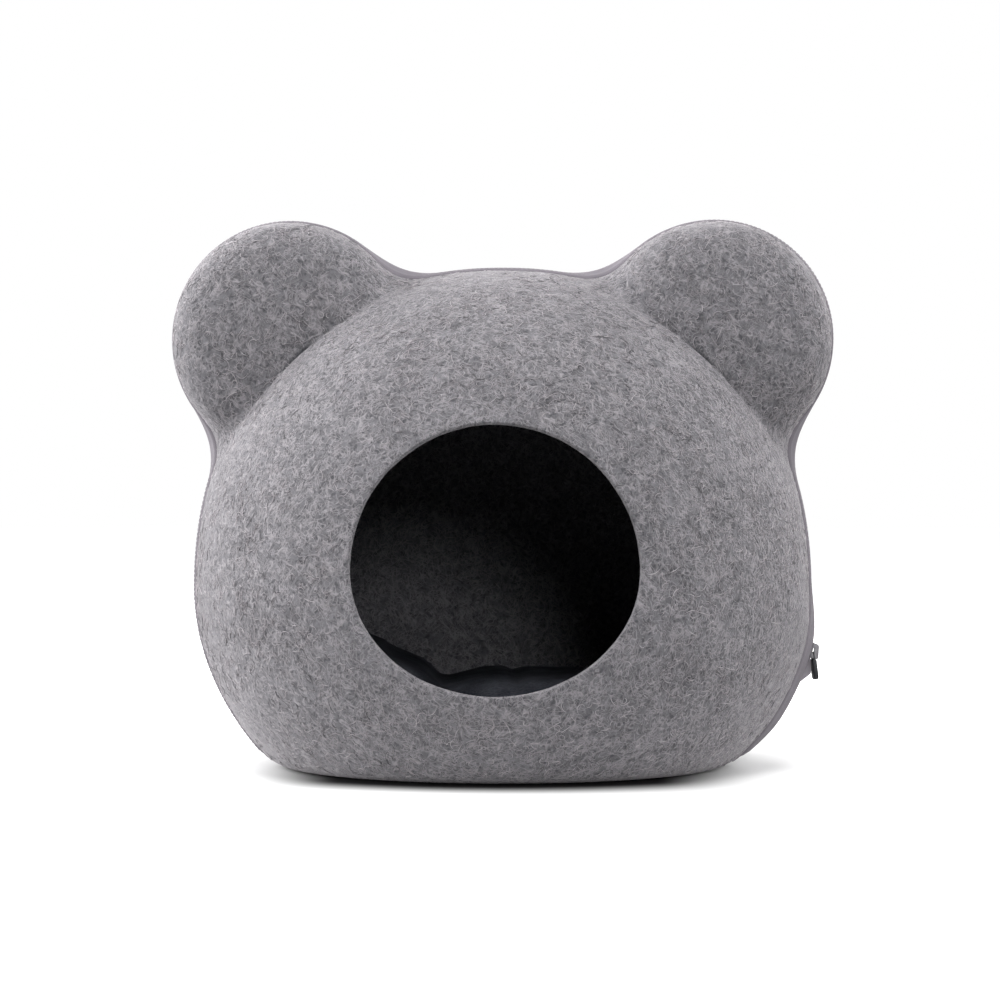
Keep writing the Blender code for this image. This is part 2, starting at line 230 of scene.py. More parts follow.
def curled_fibres() -> PatternGroup:
    """Thin strands that run roughly along a direction: broken level lines of a drawn-out noise.

    Returns:
        The group, whose one output is 1 in the middle of a strand.
    """
    inputs = {"Vector": None, "Along": None, "Scale": 300.0, "Width": 0.05, "Cover": 0.5}
    group = PatternGroup("curled_fibres", inputs, ("Strand",))
    graph, given = group.graph, group.given
    drawn_out, break_scale, least_cover, cover_change, break_edge = 0.82, 120.0, 0.68, 0.36, 9.0
    reach = graph.math("MULTIPLY", graph.measure("DOT_PRODUCT", given["Vector"], given["Along"]), drawn_out)
    drawn = graph.vector_math("SUBTRACT", given["Vector"], graph.scaled(given["Along"], reach))
    level = graph.noise(drawn, given["Scale"], 0.0)
    off = graph.math("ABSOLUTE", graph.math("SUBTRACT", level, 0.5))
    line = graph.math("SUBTRACT", 1.0, graph.math("DIVIDE", off, given["Width"]), clamp=True)
    pick = graph.noise(graph.shifted(given["Vector"], (0.31, 0.17, 0.23)), break_scale, 1.0)
    least = graph.math("SUBTRACT", least_cover, graph.math("MULTIPLY", given["Cover"], cover_change))
    kept = graph.math("MULTIPLY", graph.math("SUBTRACT", pick, least), break_edge, clamp=True)
    group.give("Strand", graph.math("MULTIPLY", line, kept))
    return group


def woven_ribs() -> PatternGroup:
    """A fine plain weave on a surface's own map, which is in metres.

    Returns:
        The group, with the weave's height and its painted shade, darker where the weave lies low.
    """
    group = PatternGroup("woven_ribs", {"Vector": None, "Pitch": 0.0007}, ("Height", "Shade"))
    graph, given = group.graph, group.given
    parts = graph.add("NodeSeparateXYZ", {0: given["Vector"]}).outputs
    turn = graph.math("DIVIDE", math.pi, given["Pitch"])
    along = graph.math("SINE", graph.math("MULTIPLY", parts["X"], turn))
    across = graph.math("SINE", graph.math("MULTIPLY", parts["Y"], turn))
    over = graph.math("MULTIPLY", along, across)
    lift = graph.math("ADD", graph.math("ABSOLUTE", along), graph.math("ABSOLUTE", across))
    round_share, crossing_share = 0.35, 0.3
    rounded = graph.math("MULTIPLY", lift, round_share)
    height = graph.math("ADD", rounded, graph.math("MULTIPLY", over, crossing_share))
    group.give("Height", height)
    # Painted shade: the weave is darker where it lies low.
    group.give("Shade", graph.ramp(height, -0.1, 0.8))
    return group


def soft_mottle() -> PatternGroup:
    """Uneven colour and use marks: slow clouds, and a finer speckle over them.

    Returns:
        The group, with both layers from 0 to 1.
    """
    group = PatternGroup("soft_mottle", {"Vector": None, "Cloud": 25.0, "Speck": 700.0}, ("Cloud", "Speck"))
    graph, given = group.graph, group.given
    group.give("Cloud", graph.ramp(graph.noise(given["Vector"], given["Cloud"], 2.0), 0.25, 0.75))
    group.give("Speck", graph.ramp(graph.noise(given["Vector"], given["Speck"], 2.0, 0.6), 0.25, 0.75))
    return group


@dataclass
class Patterns:
    """The node groups, each built once."""

    fibres: PatternGroup = field(default_factory=curled_fibres)
    weave: PatternGroup = field(default_factory=woven_ribs)
    mottle: PatternGroup = field(default_factory=soft_mottle)


# The finishes.


def new_material(name: str) -> tuple[Material, Graph, bpy.types.Node]:
    """Makes a material, and gives it with its graph and its Principled node.

    Args:
        name: The material's name.

    Returns:
        The three of them.
    """
    made = bpy.data.materials.new(name)
    made.use_nodes = True
    return made, Graph(made.node_tree), made.node_tree.nodes["Principled BSDF"]


@dataclass(frozen=True)
class FeltFinish:
    """Needled wool felt: a marled grey with pale crossing fibres and small dark gaps, and painted shade along
    the ears' creases.
    """

    name: str = "grey_felt"
    ground: Colour = display(112, 111, 115)
    pale: Colour = display(190, 185, 189)
    dark: Colour = display(58, 59, 63)
    strand_ways: tuple[Point, ...] = (
        (0.00, 0.53, 0.85), (0.00, -0.53, 0.85), (0.85, 0.00, 0.53), (-0.85, 0.00, 0.53),
        (0.53, 0.85, 0.00), (-0.53, 0.85, 0.00), (0.71, 0.00, -0.71), (0.30, -0.30, 0.90),
    )
    strand_scale: float = 290.0
    strand_width: float = 0.050
    strand_cover: float = 0.55
    strand_share: float = 0.50
    curl: float = 0.0060
    curl_scale: float = 95.0
    tuft_scale: float = 150.0
    tufts: float = 0.17
    clouds: float = 0.08
    specks: float = 0.10
    gap_scale: float = 330.0
    gap_share: float = 0.60
    # How far the creases are painted dark, as painted shade.
    painted_crease_shade: float = 0.95
    bump: float = 0.0007

    def strands(self, graph: Graph, patterns: Patterns, where: Socket) -> Socket:
        """Lays strands over each other in every direction.

        Args:
            graph: The material's graph.
            patterns: The shared node groups.
            where: The surface's coordinates.

        Returns:
            A socket that is 1 in the middle of a strand and 0 between strands.
        """
        warp = graph.add("NodeTexNoise", {"Vector": where, "Scale": self.curl_scale, "Detail": 1.0})
        curl = graph.vector_math("MULTIPLY", warp.outputs["Color"], (self.curl,) * 3)
        bent = graph.vector_math("ADD", where, curl)
        laid = None
        for layer, way in enumerate(self.strand_ways):
            moved = graph.shifted(bent, (0.37 * layer, 0.11 * layer, 0.23 * layer))
            scale = self.strand_scale * (1.0 + 0.09 * (layer % 3))
            inputs = {"Vector": moved, "Along": way, "Scale": scale, "Width": self.strand_width}
            strand = patterns.fibres.place(graph, **inputs, Cover=self.strand_cover)["Strand"]
            laid = strand if laid is None else graph.math("MAXIMUM", laid, strand)
        return laid

    def build(self, patterns: Patterns) -> Material:
        """Makes the material.

        Args:
            patterns: The shared node groups.

        Returns:
            The material.
        """
        made, graph, shader = new_material(self.name)
        where = graph.add("NodeTexCoord").outputs["Object"]
        marks = patterns.mottle.place(graph, Vector=where, Cloud=24.0, Speck=900.0)
        tufts = graph.noise(where, self.tuft_scale, 2.0, 0.6)
        strands = self.strands(graph, patterns, where)
        gaps = graph.ramp(graph.noise(graph.shifted(where, (0.7, 0.3, 0.5)), self.gap_scale, 2.0), 0.50, 0.66)
        shade = graph.math("ADD", graph.ramp(tufts, 0.3, 0.7, -self.tufts, self.tufts), -0.02)
        for mark, most in (("Cloud", self.clouds), ("Speck", self.specks)):
            shade = graph.math("ADD", shade, graph.ramp(marks[mark], 0.0, 1.0, -most, most))
        ground = graph.scaled(self.ground[:3], graph.math("ADD", shade, 1.0))
        deep = graph.mix(graph.math("MULTIPLY", gaps, self.gap_share), ground, self.dark)
        colour = graph.mix(graph.math("MULTIPLY", strands, self.strand_share), deep, self.pale)
        # Painted shade: the colour is drawn towards the dark felt along the creases, where the groove
        # attribute is high.
        groove = graph.add("NodeAttribute", attribute_name="groove").outputs["Fac"]
        colour = graph.mix(graph.math("MULTIPLY", groove, self.painted_crease_shade), colour, self.dark)
        height = graph.math("ADD", graph.math("MULTIPLY", strands, 0.5), graph.math("MULTIPLY", tufts, 0.9))
        height = graph.math("SUBTRACT", height, graph.math("MULTIPLY", gaps, 0.4))
        graph.feed(shader, {"Base Color": colour, "Normal": graph.bump(height, 0.8, self.bump)})
        graph.feed(shader, {"Roughness": 0.95, "Specular IOR Level": 0.12, "Sheen Weight": 0.62})
        graph.feed(shader, {"Sheen Roughness": 0.45, "Sheen Tint": display(225, 220, 224)})
        return made


@dataclass(frozen=True)
class StrandFinish:
    """The loose fibres on the felt, each pale, middling or dark by its own tone."""

    name: str = "felt_strands"
    pale: Colour = display(200, 193, 198)
    dark: Colour = display(70, 71, 74)

    def build(self) -> Material:
        """Makes the material. The tone is the mesh's own attribute.

        Returns:
            The material.
        """
        made, graph, shader = new_material(self.name)
        tone = graph.add("NodeAttribute", attribute_name="tone").outputs["Fac"]
        where = graph.add("NodeTexCoord").outputs["Object"]
        speck = graph.ramp(graph.noise(where, 400.0), 0.3, 0.7, -0.12, 0.12)
        share = graph.math("ADD", tone, speck, clamp=True)
        graph.feed(shader, {"Base Color": graph.mix(share, self.dark, self.pale), "Roughness": 0.8})
        graph.feed(shader, {"Specular IOR Level": 0.2, "Sheen Weight": 0.3})
        return made


@dataclass(frozen=True)
class TapeFinish:
    """The zip's woven tape, in a light mauve grey, with painted shade where its weave lies low."""

    name: str = "mauve_tape"
    pale: Colour = display(134, 129, 136)
    dark: Colour = display(108, 103, 110)
    pitch: float = 0.0007
    rise: float = 0.00012

    def build(self, patterns: Patterns) -> Material:
        """Makes the material, whose weave follows the tape's own map.

        Args:
            patterns: The shared node groups.

        Returns:
            The material.
        """
        made, graph, shader = new_material(self.name)
        coordinates = graph.add("NodeTexCoord").outputs
        weave = patterns.weave.place(graph, Vector=coordinates["UV"], Pitch=self.pitch)
        marks = patterns.mottle.place(graph, Vector=coordinates["Object"], Cloud=60.0, Speck=1500.0)
        worn = graph.math("MULTIPLY", graph.math("ADD", marks["Cloud"], marks["Speck"]), 0.22)
        # The weave's painted shade darkens the tape where the weave lies low.
        share = graph.math("ADD", graph.math("MULTIPLY", weave["Shade"], 0.45), worn, clamp=True)
        colour = graph.mix(share, self.dark, self.pale)
        graph.feed(shader, {"Base Color": colour, "Normal": graph.bump(weave["Height"], 0.5, self.rise)})
        graph.feed(shader, {"Roughness": 0.82, "Specular IOR Level": 0.25, "Sheen Weight": 0.15})
        return made


@dataclass(frozen=True)
class PlainFinish:
    """A hard or threadlike finish with a fine uneven tone: teeth, thread and painted metal."""

    name: str
    pale: Colour
    dark: Colour
    roughness: float
    metallic: float = 0.0
    uneven: float = 0.07
    grain: float = 900.0
    rise: float = 0.00004

    def build(self, patterns: Patterns) -> Material:
        """Makes the material.

        Args:
            patterns: The shared node groups.

        Returns:
            The material.
        """
        made, graph, shader = new_material(self.name)
        where = graph.add("NodeTexCoord").outputs["Object"]
        marks = patterns.mottle.place(graph, Vector=where, Cloud=220.0, Speck=self.grain)
        share = graph.math("MULTIPLY", graph.math("ADD", marks["Cloud"], marks["Speck"]), 0.5)
        least, most = self.roughness - self.uneven, self.roughness + self.uneven
        gloss = graph.ramp(marks["Cloud"], 0.0, 1.0, least, most)
        graph.feed(shader, {"Base Color": graph.mix(share, self.dark, self.pale), "Roughness": gloss})
        graph.feed(shader, {"Normal": graph.bump(marks["Speck"], 0.5, self.rise), "Metallic": self.metallic})
        return made


@dataclass(frozen=True)
class NavyFinish:
    """The cushion's smooth navy cover, a close weave with a faint shine on its folds."""

    name: str = "navy_cover"
    pale: Colour = display(86, 87, 94)
    dark: Colour = display(32, 35, 42)
    cloud_share: float = 0.45
    slub_share: float = 0.4
    rise: float = 0.0012

    def build(self, patterns: Patterns) -> Material:
        """Makes the material.

        Args:
            patterns: The shared node groups.

        Returns:
            The material.
        """
        made, graph, shader = new_material(self.name)
        where = graph.add("NodeTexCoord").outputs["Object"]
        marks = patterns.mottle.place(graph, Vector=where, Cloud=38.0, Speck=1400.0)
        slub = graph.noise(graph.vector_math("MULTIPLY", where, (1.0, 5.0, 3.0)), 420.0, 2.0)
        crinkle = graph.noise(where, 95.0, 3.0, 0.6)
        cloud = graph.math("MULTIPLY", marks["Cloud"], self.cloud_share)
        share = graph.math("ADD", cloud, graph.ramp(slub, 0.3, 0.7, 0.0, self.slub_share))
        fine = graph.math("ADD", graph.math("MULTIPLY", marks["Speck"], 0.12), crinkle)
        colour = graph.mix(share, self.dark, self.pale)
        graph.feed(shader, {"Base Color": colour, "Normal": graph.bump(fine, 0.6, self.rise)})
        graph.feed(shader, {"Roughness": 0.85, "Specular IOR Level": 0.06})
        return made


# The form that every felt and zip piece follows.


@dataclass(frozen=True)
class CaveForm:
    """The cave's outer surface, as distances about the body's centre that are positive outside."""

    centre_z: float = 0.129
    body_half_width: float = 0.2242
    body_rise: float = 0.2340
    body_drop: float = 0.1955
    front_depth: float = 0.1840
    back_depth: float = 0.1731
    upper_roundness: float = 2.17
    lower_roundness: float = 1.93
    base_edge: float = 0.010
    ear_out: float = 0.1545
    ear_up: float = 0.1830
    ear_radius: float = 0.0855
    ear_depth: float = 0.0620
    ear_roundness: float = 3.6
    blend_at_seam: float = 0.025
    blend_at_face: float = 0.0042
    blend_run: tuple[float, float] = (0.020, 0.061)
    bulge: float = 0.0034
    bulge_reach: float = 0.060
    bulge_from: tuple[float, float] = (2.5, -11.0)
    bulge_to: tuple[float, float] = (-24.0, -39.0)
    seam_half_slit: float = 0.0006
    hole_centre_z: float = 0.1483
    hole_half_width: float = 0.0997
    hole_rise: float = 0.0998
    hole_drop: float = 0.0866

    @property
    def centre(self) -> np.ndarray:
        """The body's centre in the cave's frame."""
        return np.array([0.0, 0.0, self.centre_z])

    @staticmethod
    def blend_less(a: np.ndarray, b: np.ndarray, width: np.ndarray | float) -> np.ndarray:
        """Gives the lesser of a and b, rounded over a width where they are near each other."""
        t = np.clip(0.5 + 0.5 * (b - a) / width, 0.0, 1.0)
        return b * (1.0 - t) + a * t - width * t * (1.0 - t)

    def body_level(self, x: np.ndarray, z: np.ndarray) -> np.ndarray:
        """Gives 1 on the body's outline in the seam plane, less inside it.

        Args:
            x: How far right of the body's centre.
            z: How far above it.

        Returns:
            One level for each point.
        """
        upper = z >= 0.0
        half_height = np.where(upper, self.body_rise, self.body_drop)
        power = np.where(upper, self.upper_roundness, self.lower_roundness)
        across = (np.abs(x) / self.body_half_width) ** power
        return (across + (np.abs(z) / half_height) ** power) ** (1.0 / power)

    def low_right(self, angles: np.ndarray) -> np.ndarray:
        """Gives 1 along the outline's stretch low on the right, 0 elsewhere, with soft ends."""
        degrees = np.degrees(angles)
        return smooth_step(degrees, *self.bulge_from) * (1.0 - smooth_step(degrees, *self.bulge_to))

    def body_distance(self, x: np.ndarray, y: np.ndarray, z: np.ndarray) -> np.ndarray:
        """Gives how far points are outside the body, along their rays from the centre.

        Args:
            x: How far right of the body's centre.
            y: How far behind it.
            z: How far above it.

        Returns:
            One distance for each point.
        """
        depth = np.where(y < 0.0, -y / self.front_depth, y / self.back_depth)
        level = np.maximum(np.hypot(self.body_level(x, z), depth), 1e-9)
        near = smooth_step(np.abs(y), self.bulge_reach, 0.0)
        bulge = self.bulge * self.low_right(np.arctan2(z, x)) * near
        return np.sqrt(x * x + y * y + z * z) * (1.0 - 1.0 / level) - bulge

    def ear_distance(self, x: np.ndarray, y: np.ndarray, z: np.ndarray) -> np.ndarray:
        """Gives how far points are outside the ear on their side, along rays from its centre.

        Args:
            x: How far right of the body's centre.
            y: How far behind it.
            z: How far above it.

        Returns:
            One distance for each point.
        """
        out = np.hypot(np.abs(x) - self.ear_out, z - self.ear_up)
        power = self.ear_roundness
        level = (out / self.ear_radius) ** power + (np.abs(y) / self.ear_depth) ** power
        level = np.maximum(level, 1e-9) ** (1.0 / power)
        return np.hypot(out, y) * (1.0 - 1.0 / level)

    def felt_blend(self, y: np.ndarray) -> np.ndarray:
        """Gives the width of the blend between an ear and the body at a distance from the seam."""
        change = smooth_step(np.abs(y), *self.blend_run)
        return self.blend_at_seam + (self.blend_at_face - self.blend_at_seam) * change

    def outside(self, points: np.ndarray, blend: Callable | None = None) -> np.ndarray:
        """Gives how far points are outside the shells.

        Args:
            points: Points about the body's centre, in the last axis.
            blend: The blend's width as a function of y, or None for the felt's own.

        Returns:
            One distance for each point.
        """
        x, y, z = points[..., 0], points[..., 1], points[..., 2]
        width = (blend or self.felt_blend)(y)
        shell = self.blend_less(self.body_distance(x, y, z), self.ear_distance(x, y, z), width)
        return -self.blend_less(-shell, z + self.centre_z, self.base_edge)

    def off_crease(self, points: np.ndarray) -> np.ndarray:
        """Gives how far points are from the line where an ear's face meets the dome, 0 on it.

        Args:
            points: Points about the body's centre.

        Returns:
            One distance for each point.
        """
        x, y, z = points[..., 0], points[..., 1], points[..., 2]
        lead = self.body_distance(x, y, z) - self.ear_distance(x, y, z)
        return np.hypot(lead, np.minimum(np.abs(y) - self.ear_depth + 0.001, 0.0))

    def slope(self, points: np.ndarray) -> np.ndarray:
        """Gives the gradient of the distance outside the shells.

        Args:
            points: Points about the body's centre.

        Returns:
            One vector for each point.
        """
        step = 2e-5
        shifts = np.eye(3) * step
        parts = [self.outside(points + shift) - self.outside(points - shift) for shift in shifts]
        return np.stack(parts, axis=-1) / (2.0 * step)

    def settle(self, points: np.ndarray, height: np.ndarray | float = 0.0, rounds: int = 4) -> np.ndarray:
        """Moves points onto the surface, or to a height above it.

        Args:
            points: Points about the body's centre.
            height: How far outside the shells they go.
            rounds: How many steps they take.

        Returns:
            The moved points.
        """
        for _ in range(rounds):
            slope = self.slope(points)
            size = np.maximum((slope * slope).sum(-1), 1e-6)
            points = points - slope * ((self.outside(points) - height) / size)[..., None]
        return points

    def normals(self, points: np.ndarray) -> np.ndarray:
        """Gives the surface's outward unit normals at points."""
        return unit(self.slope(points))

    def on_slice(
        self, angles: np.ndarray, y: float, height: float = 0.0, blend: Callable | None = None
    ) -> np.ndarray:
        """Gives a slice's outline at angles about the Y axis.

        Args:
            angles: Angles in radians, 0 at +X and a quarter turn at the top.
            y: The slice's place.
            height: How far outside the shells the outline lies.
            blend: The blend's width as a function of y, or None for the felt's own.

        Returns:
            One point for each angle, about the body's centre.
        """
        around = np.stack([np.cos(angles), np.zeros_like(angles), np.sin(angles)], axis=-1)
        slice_at = np.array([0.0, y, 0.0])
        low = np.zeros_like(angles)
        high = np.full_like(angles, 2.0 * self.body_rise)
        for _ in range(32):
            middle = (low + high) / 2.0
            is_out = self.outside(slice_at + around * middle[..., None], blend) > height
            high = np.where(is_out, middle, high)
            low = np.where(is_out, low, middle)
        return slice_at + around * high[..., None]


class Side(Enum):
    """Which half of the cave a piece belongs to. The value is the sign of Y there."""

    FRONT = -1.0
    BACK = 1.0


@dataclass(frozen=True)
class SkinGrid:
    """The grid over a half of the form: columns round it, rows from the seam to the hole or the pole.

    Columns crowd at the necks and rows at the ears' faces, where the ears crease into the dome.
    """

    form: CaveForm
    base_columns: int = 30
    side_columns: int = 50
    ear_columns: int = 84
    top_columns: int = 22
    ear_rows: int = 42
    dome_rows: int = 46
    crowded: tuple[tuple[float, float], ...] = ((0.0, 0.3), (0.3, 0.6), (0.6, 0.6), (0.6, 0.0))
    crowded_rows: float = 0.6
    crowding_reach: float = 0.12
    lowest_base_angle: float = -66.0
    near_reach: float = 0.040
    ear_slices: int = 16
    body_slices: int = 12
    most_ear_share: float = 0.92
    least_ear_radius: float = 0.036
    last_front: float = 0.148
    last_back: float = 0.1715
    crease_behind: float = 0.0003
    crease_ends: tuple[Point, ...] = ((0.120, 0.061, 0.203), (0.182, 0.059, 0.139))
    relax_reach: float = 0.024
    relax_rounds: int = 60
    groove: float = 0.0022
    groove_half: float = 0.0011
    groove_rows: int = 16

    @property
    def columns(self) -> tuple[int, ...]:
        """The columns in each stretch of one side, from the base's middle to the top."""
        return (self.base_columns, self.side_columns, self.ear_columns, self.top_columns)

    def last_ear_slice(self) -> float:
        """Gives the distance from the seam at which an ear is down to its least radius.

        Returns:
            The distance.
        """
        form = self.form
        share = (self.least_ear_radius / form.ear_radius) ** form.ear_roundness
        return form.ear_depth * (1.0 - share) ** (1.0 / form.ear_roundness)

    def anchors(self, y: float) -> list[float]:
        """Gives the angles of the base's middle, its corner, both necks and the top in a slice.

        Args:
            y: The slice's place.

        Returns:
            The five angles in radians.
        """
        form = self.form
        reach = min(abs(y), self.last_ear_slice())
        angles = np.radians(np.linspace(-90.0, 90.0, 1801))
        outline = form.on_slice(angles, math.copysign(reach, y))
        x, depth, z = outline[:, 0], outline[:, 1], outline[:, 2]
        lead = form.body_distance(x, depth, z) - form.ear_distance(x, depth, z)
        on_ear = angles[lead > 0.0]
        heights = form.on_slice(angles, y)[:, 2] + form.centre_z
        corner = max(angles[np.argmax(heights > form.base_edge / 2.0)], math.radians(self.lowest_base_angle))
        return [angles[0], corner, on_ear[0], on_ear[-1], angles[-1]]

    def shares(self, count: int, at_start: float, at_end: float) -> np.ndarray:
        """Gives numbers from 0 to 1 that lie closer together towards an end that asks for it.

        Args:
            count: How many gaps there are.
            at_start: How much the gaps shrink at 0.
            at_end: How much they shrink at 1.

        Returns:
            The numbers, one more than the gaps.
        """
        middle, reach = (np.arange(count) + 0.5) / count, self.crowding_reach
        gaps = 1.0 - at_start * np.exp(-middle / reach) - at_end * np.exp((middle - 1.0) / reach)
        return np.concatenate([[0.0], np.cumsum(gaps) / gaps.sum()])

    def spread(self, start: float, end: float, y: float, shares: np.ndarray) -> np.ndarray:
        """Gives angles from start to end, at shares of the length of a slice's outline.

        Args:
            start: The first angle.
            end: The last angle.
            y: The slice's place.
            shares: Numbers from 0 to 1.

        Returns:
            One angle for each share.
        """
        fine = np.linspace(start, end, 601)
        along = running(self.form.on_slice(fine, y))
        return np.interp(shares * along[-1], along, fine)

    def angles(self, y: float) -> np.ndarray:
        """Gives the columns' angles once round a slice, from the base's middle up the right side.

        Args:
            y: The slice's place.

        Returns:
            One angle for each column.
        """
        anchors = self.anchors(y)
        shares = [self.shares(count, *ends) for count, ends in zip(self.columns, self.crowded)]
        runs = [self.spread(*ends, y, share) for *ends, share in zip(anchors, anchors[1:], shares)]
        right = np.concatenate([run[:-1] for run in runs] + [anchors[-1:]])
        return np.concatenate([right, math.pi - right[-2:0:-1]])

    def distances(self, side: Side) -> np.ndarray:
        """Gives the slices' distances from the seam on a side, close together over the ears' rims.

        Args:
            side: The half.

        Returns:
            The distances, from the seam outwards.
        """
        form = self.form
        near = np.linspace(form.seam_half_slit, self.near_reach, self.ear_slices // 2)
        radii = np.linspace(self.most_ear_share, self.least_ear_radius / form.ear_radius, self.ear_slices)
        rims = form.ear_depth * (1.0 - radii**form.ear_roundness) ** (1.0 / form.ear_roundness)
        is_front = side is Side.FRONT
        depth = form.front_depth if is_front else form.back_depth
        last = self.last_front if is_front else self.last_back
        crease = form.ear_depth + self.crease_behind
        turns = np.linspace(math.asin(crease / depth), math.asin(last / depth), self.body_slices)
        return np.concatenate([near, rims[rims > near[-1] + 0.001], depth * np.sin(turns)])

    def hole_edge(self) -> np.ndarray:
        """Gives the entrance's outer edge, one point for each column.

        Returns:
            The points about the body's centre.
        """
        form = self.form
        angles = self.angles(-self.distances(Side.FRONT)[-1])
        rise = np.where(np.sin(angles) >= 0.0, form.hole_rise, form.hole_drop)
        x = form.hole_half_width * np.cos(angles)
        z = form.hole_centre_z - form.centre_z + rise * np.sin(angles)
        return np.stack([x, -form.front_depth * np.sqrt(1.0 - form.body_level(x, z) ** 2), z], axis=-1)

    def skin(self, side: Side) -> np.ndarray:
        """Gives a half's surface as rows of points, evenly spaced down each column.

        Args:
            side: The half.

        Returns:
            Points about the body's centre, as rows by columns by 3.
        """
        places = side.value * self.distances(side)
        rings = [self.form.on_slice(self.angles(y), y) for y in places]
        if side is Side.FRONT:
            rings.append(self.hole_edge())
        else:
            rings.append(np.broadcast_to([0.0, self.form.back_depth, 0.0], rings[0].shape))
        rings = np.array(rings)
        crease = len(places) - self.body_slices
        near = self.respaced(rings[: crease + 1], self.shares(self.ear_rows, 0.0, self.crowded_rows))
        far = self.respaced(rings[crease:], self.shares(self.dome_rows, self.crowded_rows, 0.0))
        made = np.concatenate([near, far[1:]])
        made[1:-1] = self.form.settle(made[1:-1])
        made = self.relaxed(made)
        near = made[self.ear_rows - self.groove_rows : self.ear_rows + self.groove_rows + 1]
        near -= self.form.normals(near) * (self.groove * self.in_groove(near))[..., None]
        return made

    def in_groove(self, points: np.ndarray) -> np.ndarray:
        """Gives 1 in the groove where an ear's face meets the dome and 0 away from it."""
        line = np.exp(-((self.form.off_crease(points) / self.groove_half) ** 2))
        return line * np.sqrt(1.0 - self.near_ends(points))

    def near_ends(self, points: np.ndarray) -> np.ndarray:
        """Gives 1 at the creases' ends and 0 away from them.

        Args:
            points: Points about the body's centre.

        Returns:
            One value for each point.
        """
        away = np.stack([np.abs(points[..., 0]), np.abs(points[..., 1]), points[..., 2]], axis=-1)
        near = [np.linalg.norm(away - np.array(end), axis=-1) / self.relax_reach for end in self.crease_ends]
        return np.exp(-(np.minimum(*near) ** 2))

    def relaxed(self, rows: np.ndarray) -> np.ndarray:
        """Evens the grid out at the creases' ends, where the slices alone would fold it over.

        Args:
            rows: The grid's rows of points, about the body's centre.

        Returns:
            The rows, still on the form.
        """
        weight = self.near_ends(rows[1:-1])[..., None]
        for _ in range(self.relax_rounds):
            inner = rows[1:-1]
            beside = np.roll(inner, 1, axis=1) + np.roll(inner, -1, axis=1)
            mean = (rows[:-2] + rows[2:] + beside) / 4.0
            rows[1:-1] = self.form.settle(inner + weight * (mean - inner), rounds=1)
        rows[1:-1] = self.form.settle(rows[1:-1], rounds=2)
        return rows

    @staticmethod
    def respaced(rings: np.ndarray, shares: np.ndarray) -> np.ndarray:
        """Gives rows at shares of the length of each column.

        Args:
            rings: Rings of points, each further from the seam than the last.
            shares: Numbers from 0 to 1.

        Returns:
            One row for each share.
        """
        steps = np.linalg.norm(np.diff(rings, axis=0), axis=-1)
        along = np.concatenate([np.zeros((1, steps.shape[1])), np.cumsum(steps, axis=0)])
        made = np.empty((len(shares), rings.shape[1], 3))
        for column in range(rings.shape[1]):
            at = shares * along[-1, column]
            for axis in range(3):
                made[:, column, axis] = np.interp(at, along[:, column], rings[:, column, axis])
        return made


# Meshes.


def lofted(rows: np.ndarray, closed: bool) -> Shape:
    """Shapes a grid through rows of points, with a map in metres along and across it.

    Args:
        rows: Points as rows by columns by 3.
        closed: Whether the last column meets the first.

    Returns:
        The surface, whose doubled points are merged.
    """
    if closed:
        rows = np.concatenate([rows, rows[:, :1]], axis=1)
    down, across = rows.shape[:2]
    made = bmesh.new()
    bmesh.ops.create_grid(made, x_segments=across - 1, y_segments=down - 1, size=1.0)
    along, width = running(rows[0]), running(rows[:, 0])
    layer = made.loops.layers.uv.new("cloth")
    for vert, point in zip(made.verts, rows.reshape(-1, 3)):
        vert.co = point
    made.verts.index_update()
    for face in made.faces:
        for loop in face.loops:
            row, column = divmod(loop.vert.index, across)
            loop[layer].uv = (along[column], width[row])
    bmesh.ops.remove_doubles(made, verts=made.verts, dist=1e-6)
    return made


def face_out(made: Shape) -> None:
    """Turns an open surface's faces away from the point that it is built about.

    Args:
        made: The surface.
    """
    made.normal_update()
    if sum(face.normal.dot(face.calc_center_median()) * face.calc_area() for face in made.faces) < 0.0:
        bmesh.ops.reverse_faces(made, faces=made.faces)


def draped(rows: np.ndarray, form: CaveForm, closed: bool) -> Shape:
    """Shapes a surface over the form, facing out, and puts it in the cave's frame.

    Args:
        rows: Points about the body's centre, as rows by columns by 3.
        form: The cave's form.
        closed: Whether the last column meets the first.

    Returns:
        The surface.
    """
    made = lofted(rows, closed)
    face_out(made)
    bmesh.ops.translate(made, verts=made.verts, vec=form.centre)
    return made


def to_mesh(name: str, made: Shape) -> bpy.types.Mesh:
    """Turns a shape into a mesh, and frees it.

    Args:
        name: The mesh's name.
        made: The shape.

    Returns:
        The mesh.
    """
    mesh = bpy.data.meshes.new(name)
    made.to_mesh(mesh)
    made.free()
    return mesh


def add_object(name: str, data: bpy.types.ID) -> Object:
    """Makes an object of a mesh, a light or a camera, and links it to the scene.

    Args:
        name: The object's name.
        data: What it shows.

    Returns:
        The object.
    """
    made = bpy.data.objects.new(name, data)
    bpy.context.scene.collection.objects.link(made)
    return made


def finish_piece(name: str, mesh: bpy.types.Mesh, finish: Material) -> Object:
    """Makes a smooth-shaded piece of a mesh, with its place in its points.

    Args:
        name: The piece's name.
        mesh: Its mesh.
        finish: Its material.

    Returns:
        The piece.
    """
    mesh.materials.append(finish)
    mesh.shade_smooth()
    return add_object(name, mesh)


def from_builder(name: str, made: Shape, finish: Material) -> Object:
    """Makes a piece of a shape, and frees the shape."""
    return finish_piece(name, to_mesh(name, made), finish)


def placed(piece: Object, slot: str, *nodes: str) -> Object:
    """Hangs a piece on the cave's root, and hides the CAD nodes that it stands for.

    Args:
        piece: The finished piece.
        slot: Not used.
        *nodes: The CAD nodes that it replaces.

    Returns:
        The piece.
    """
    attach(piece, "root")
    if nodes:
        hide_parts(*nodes)
    return piece


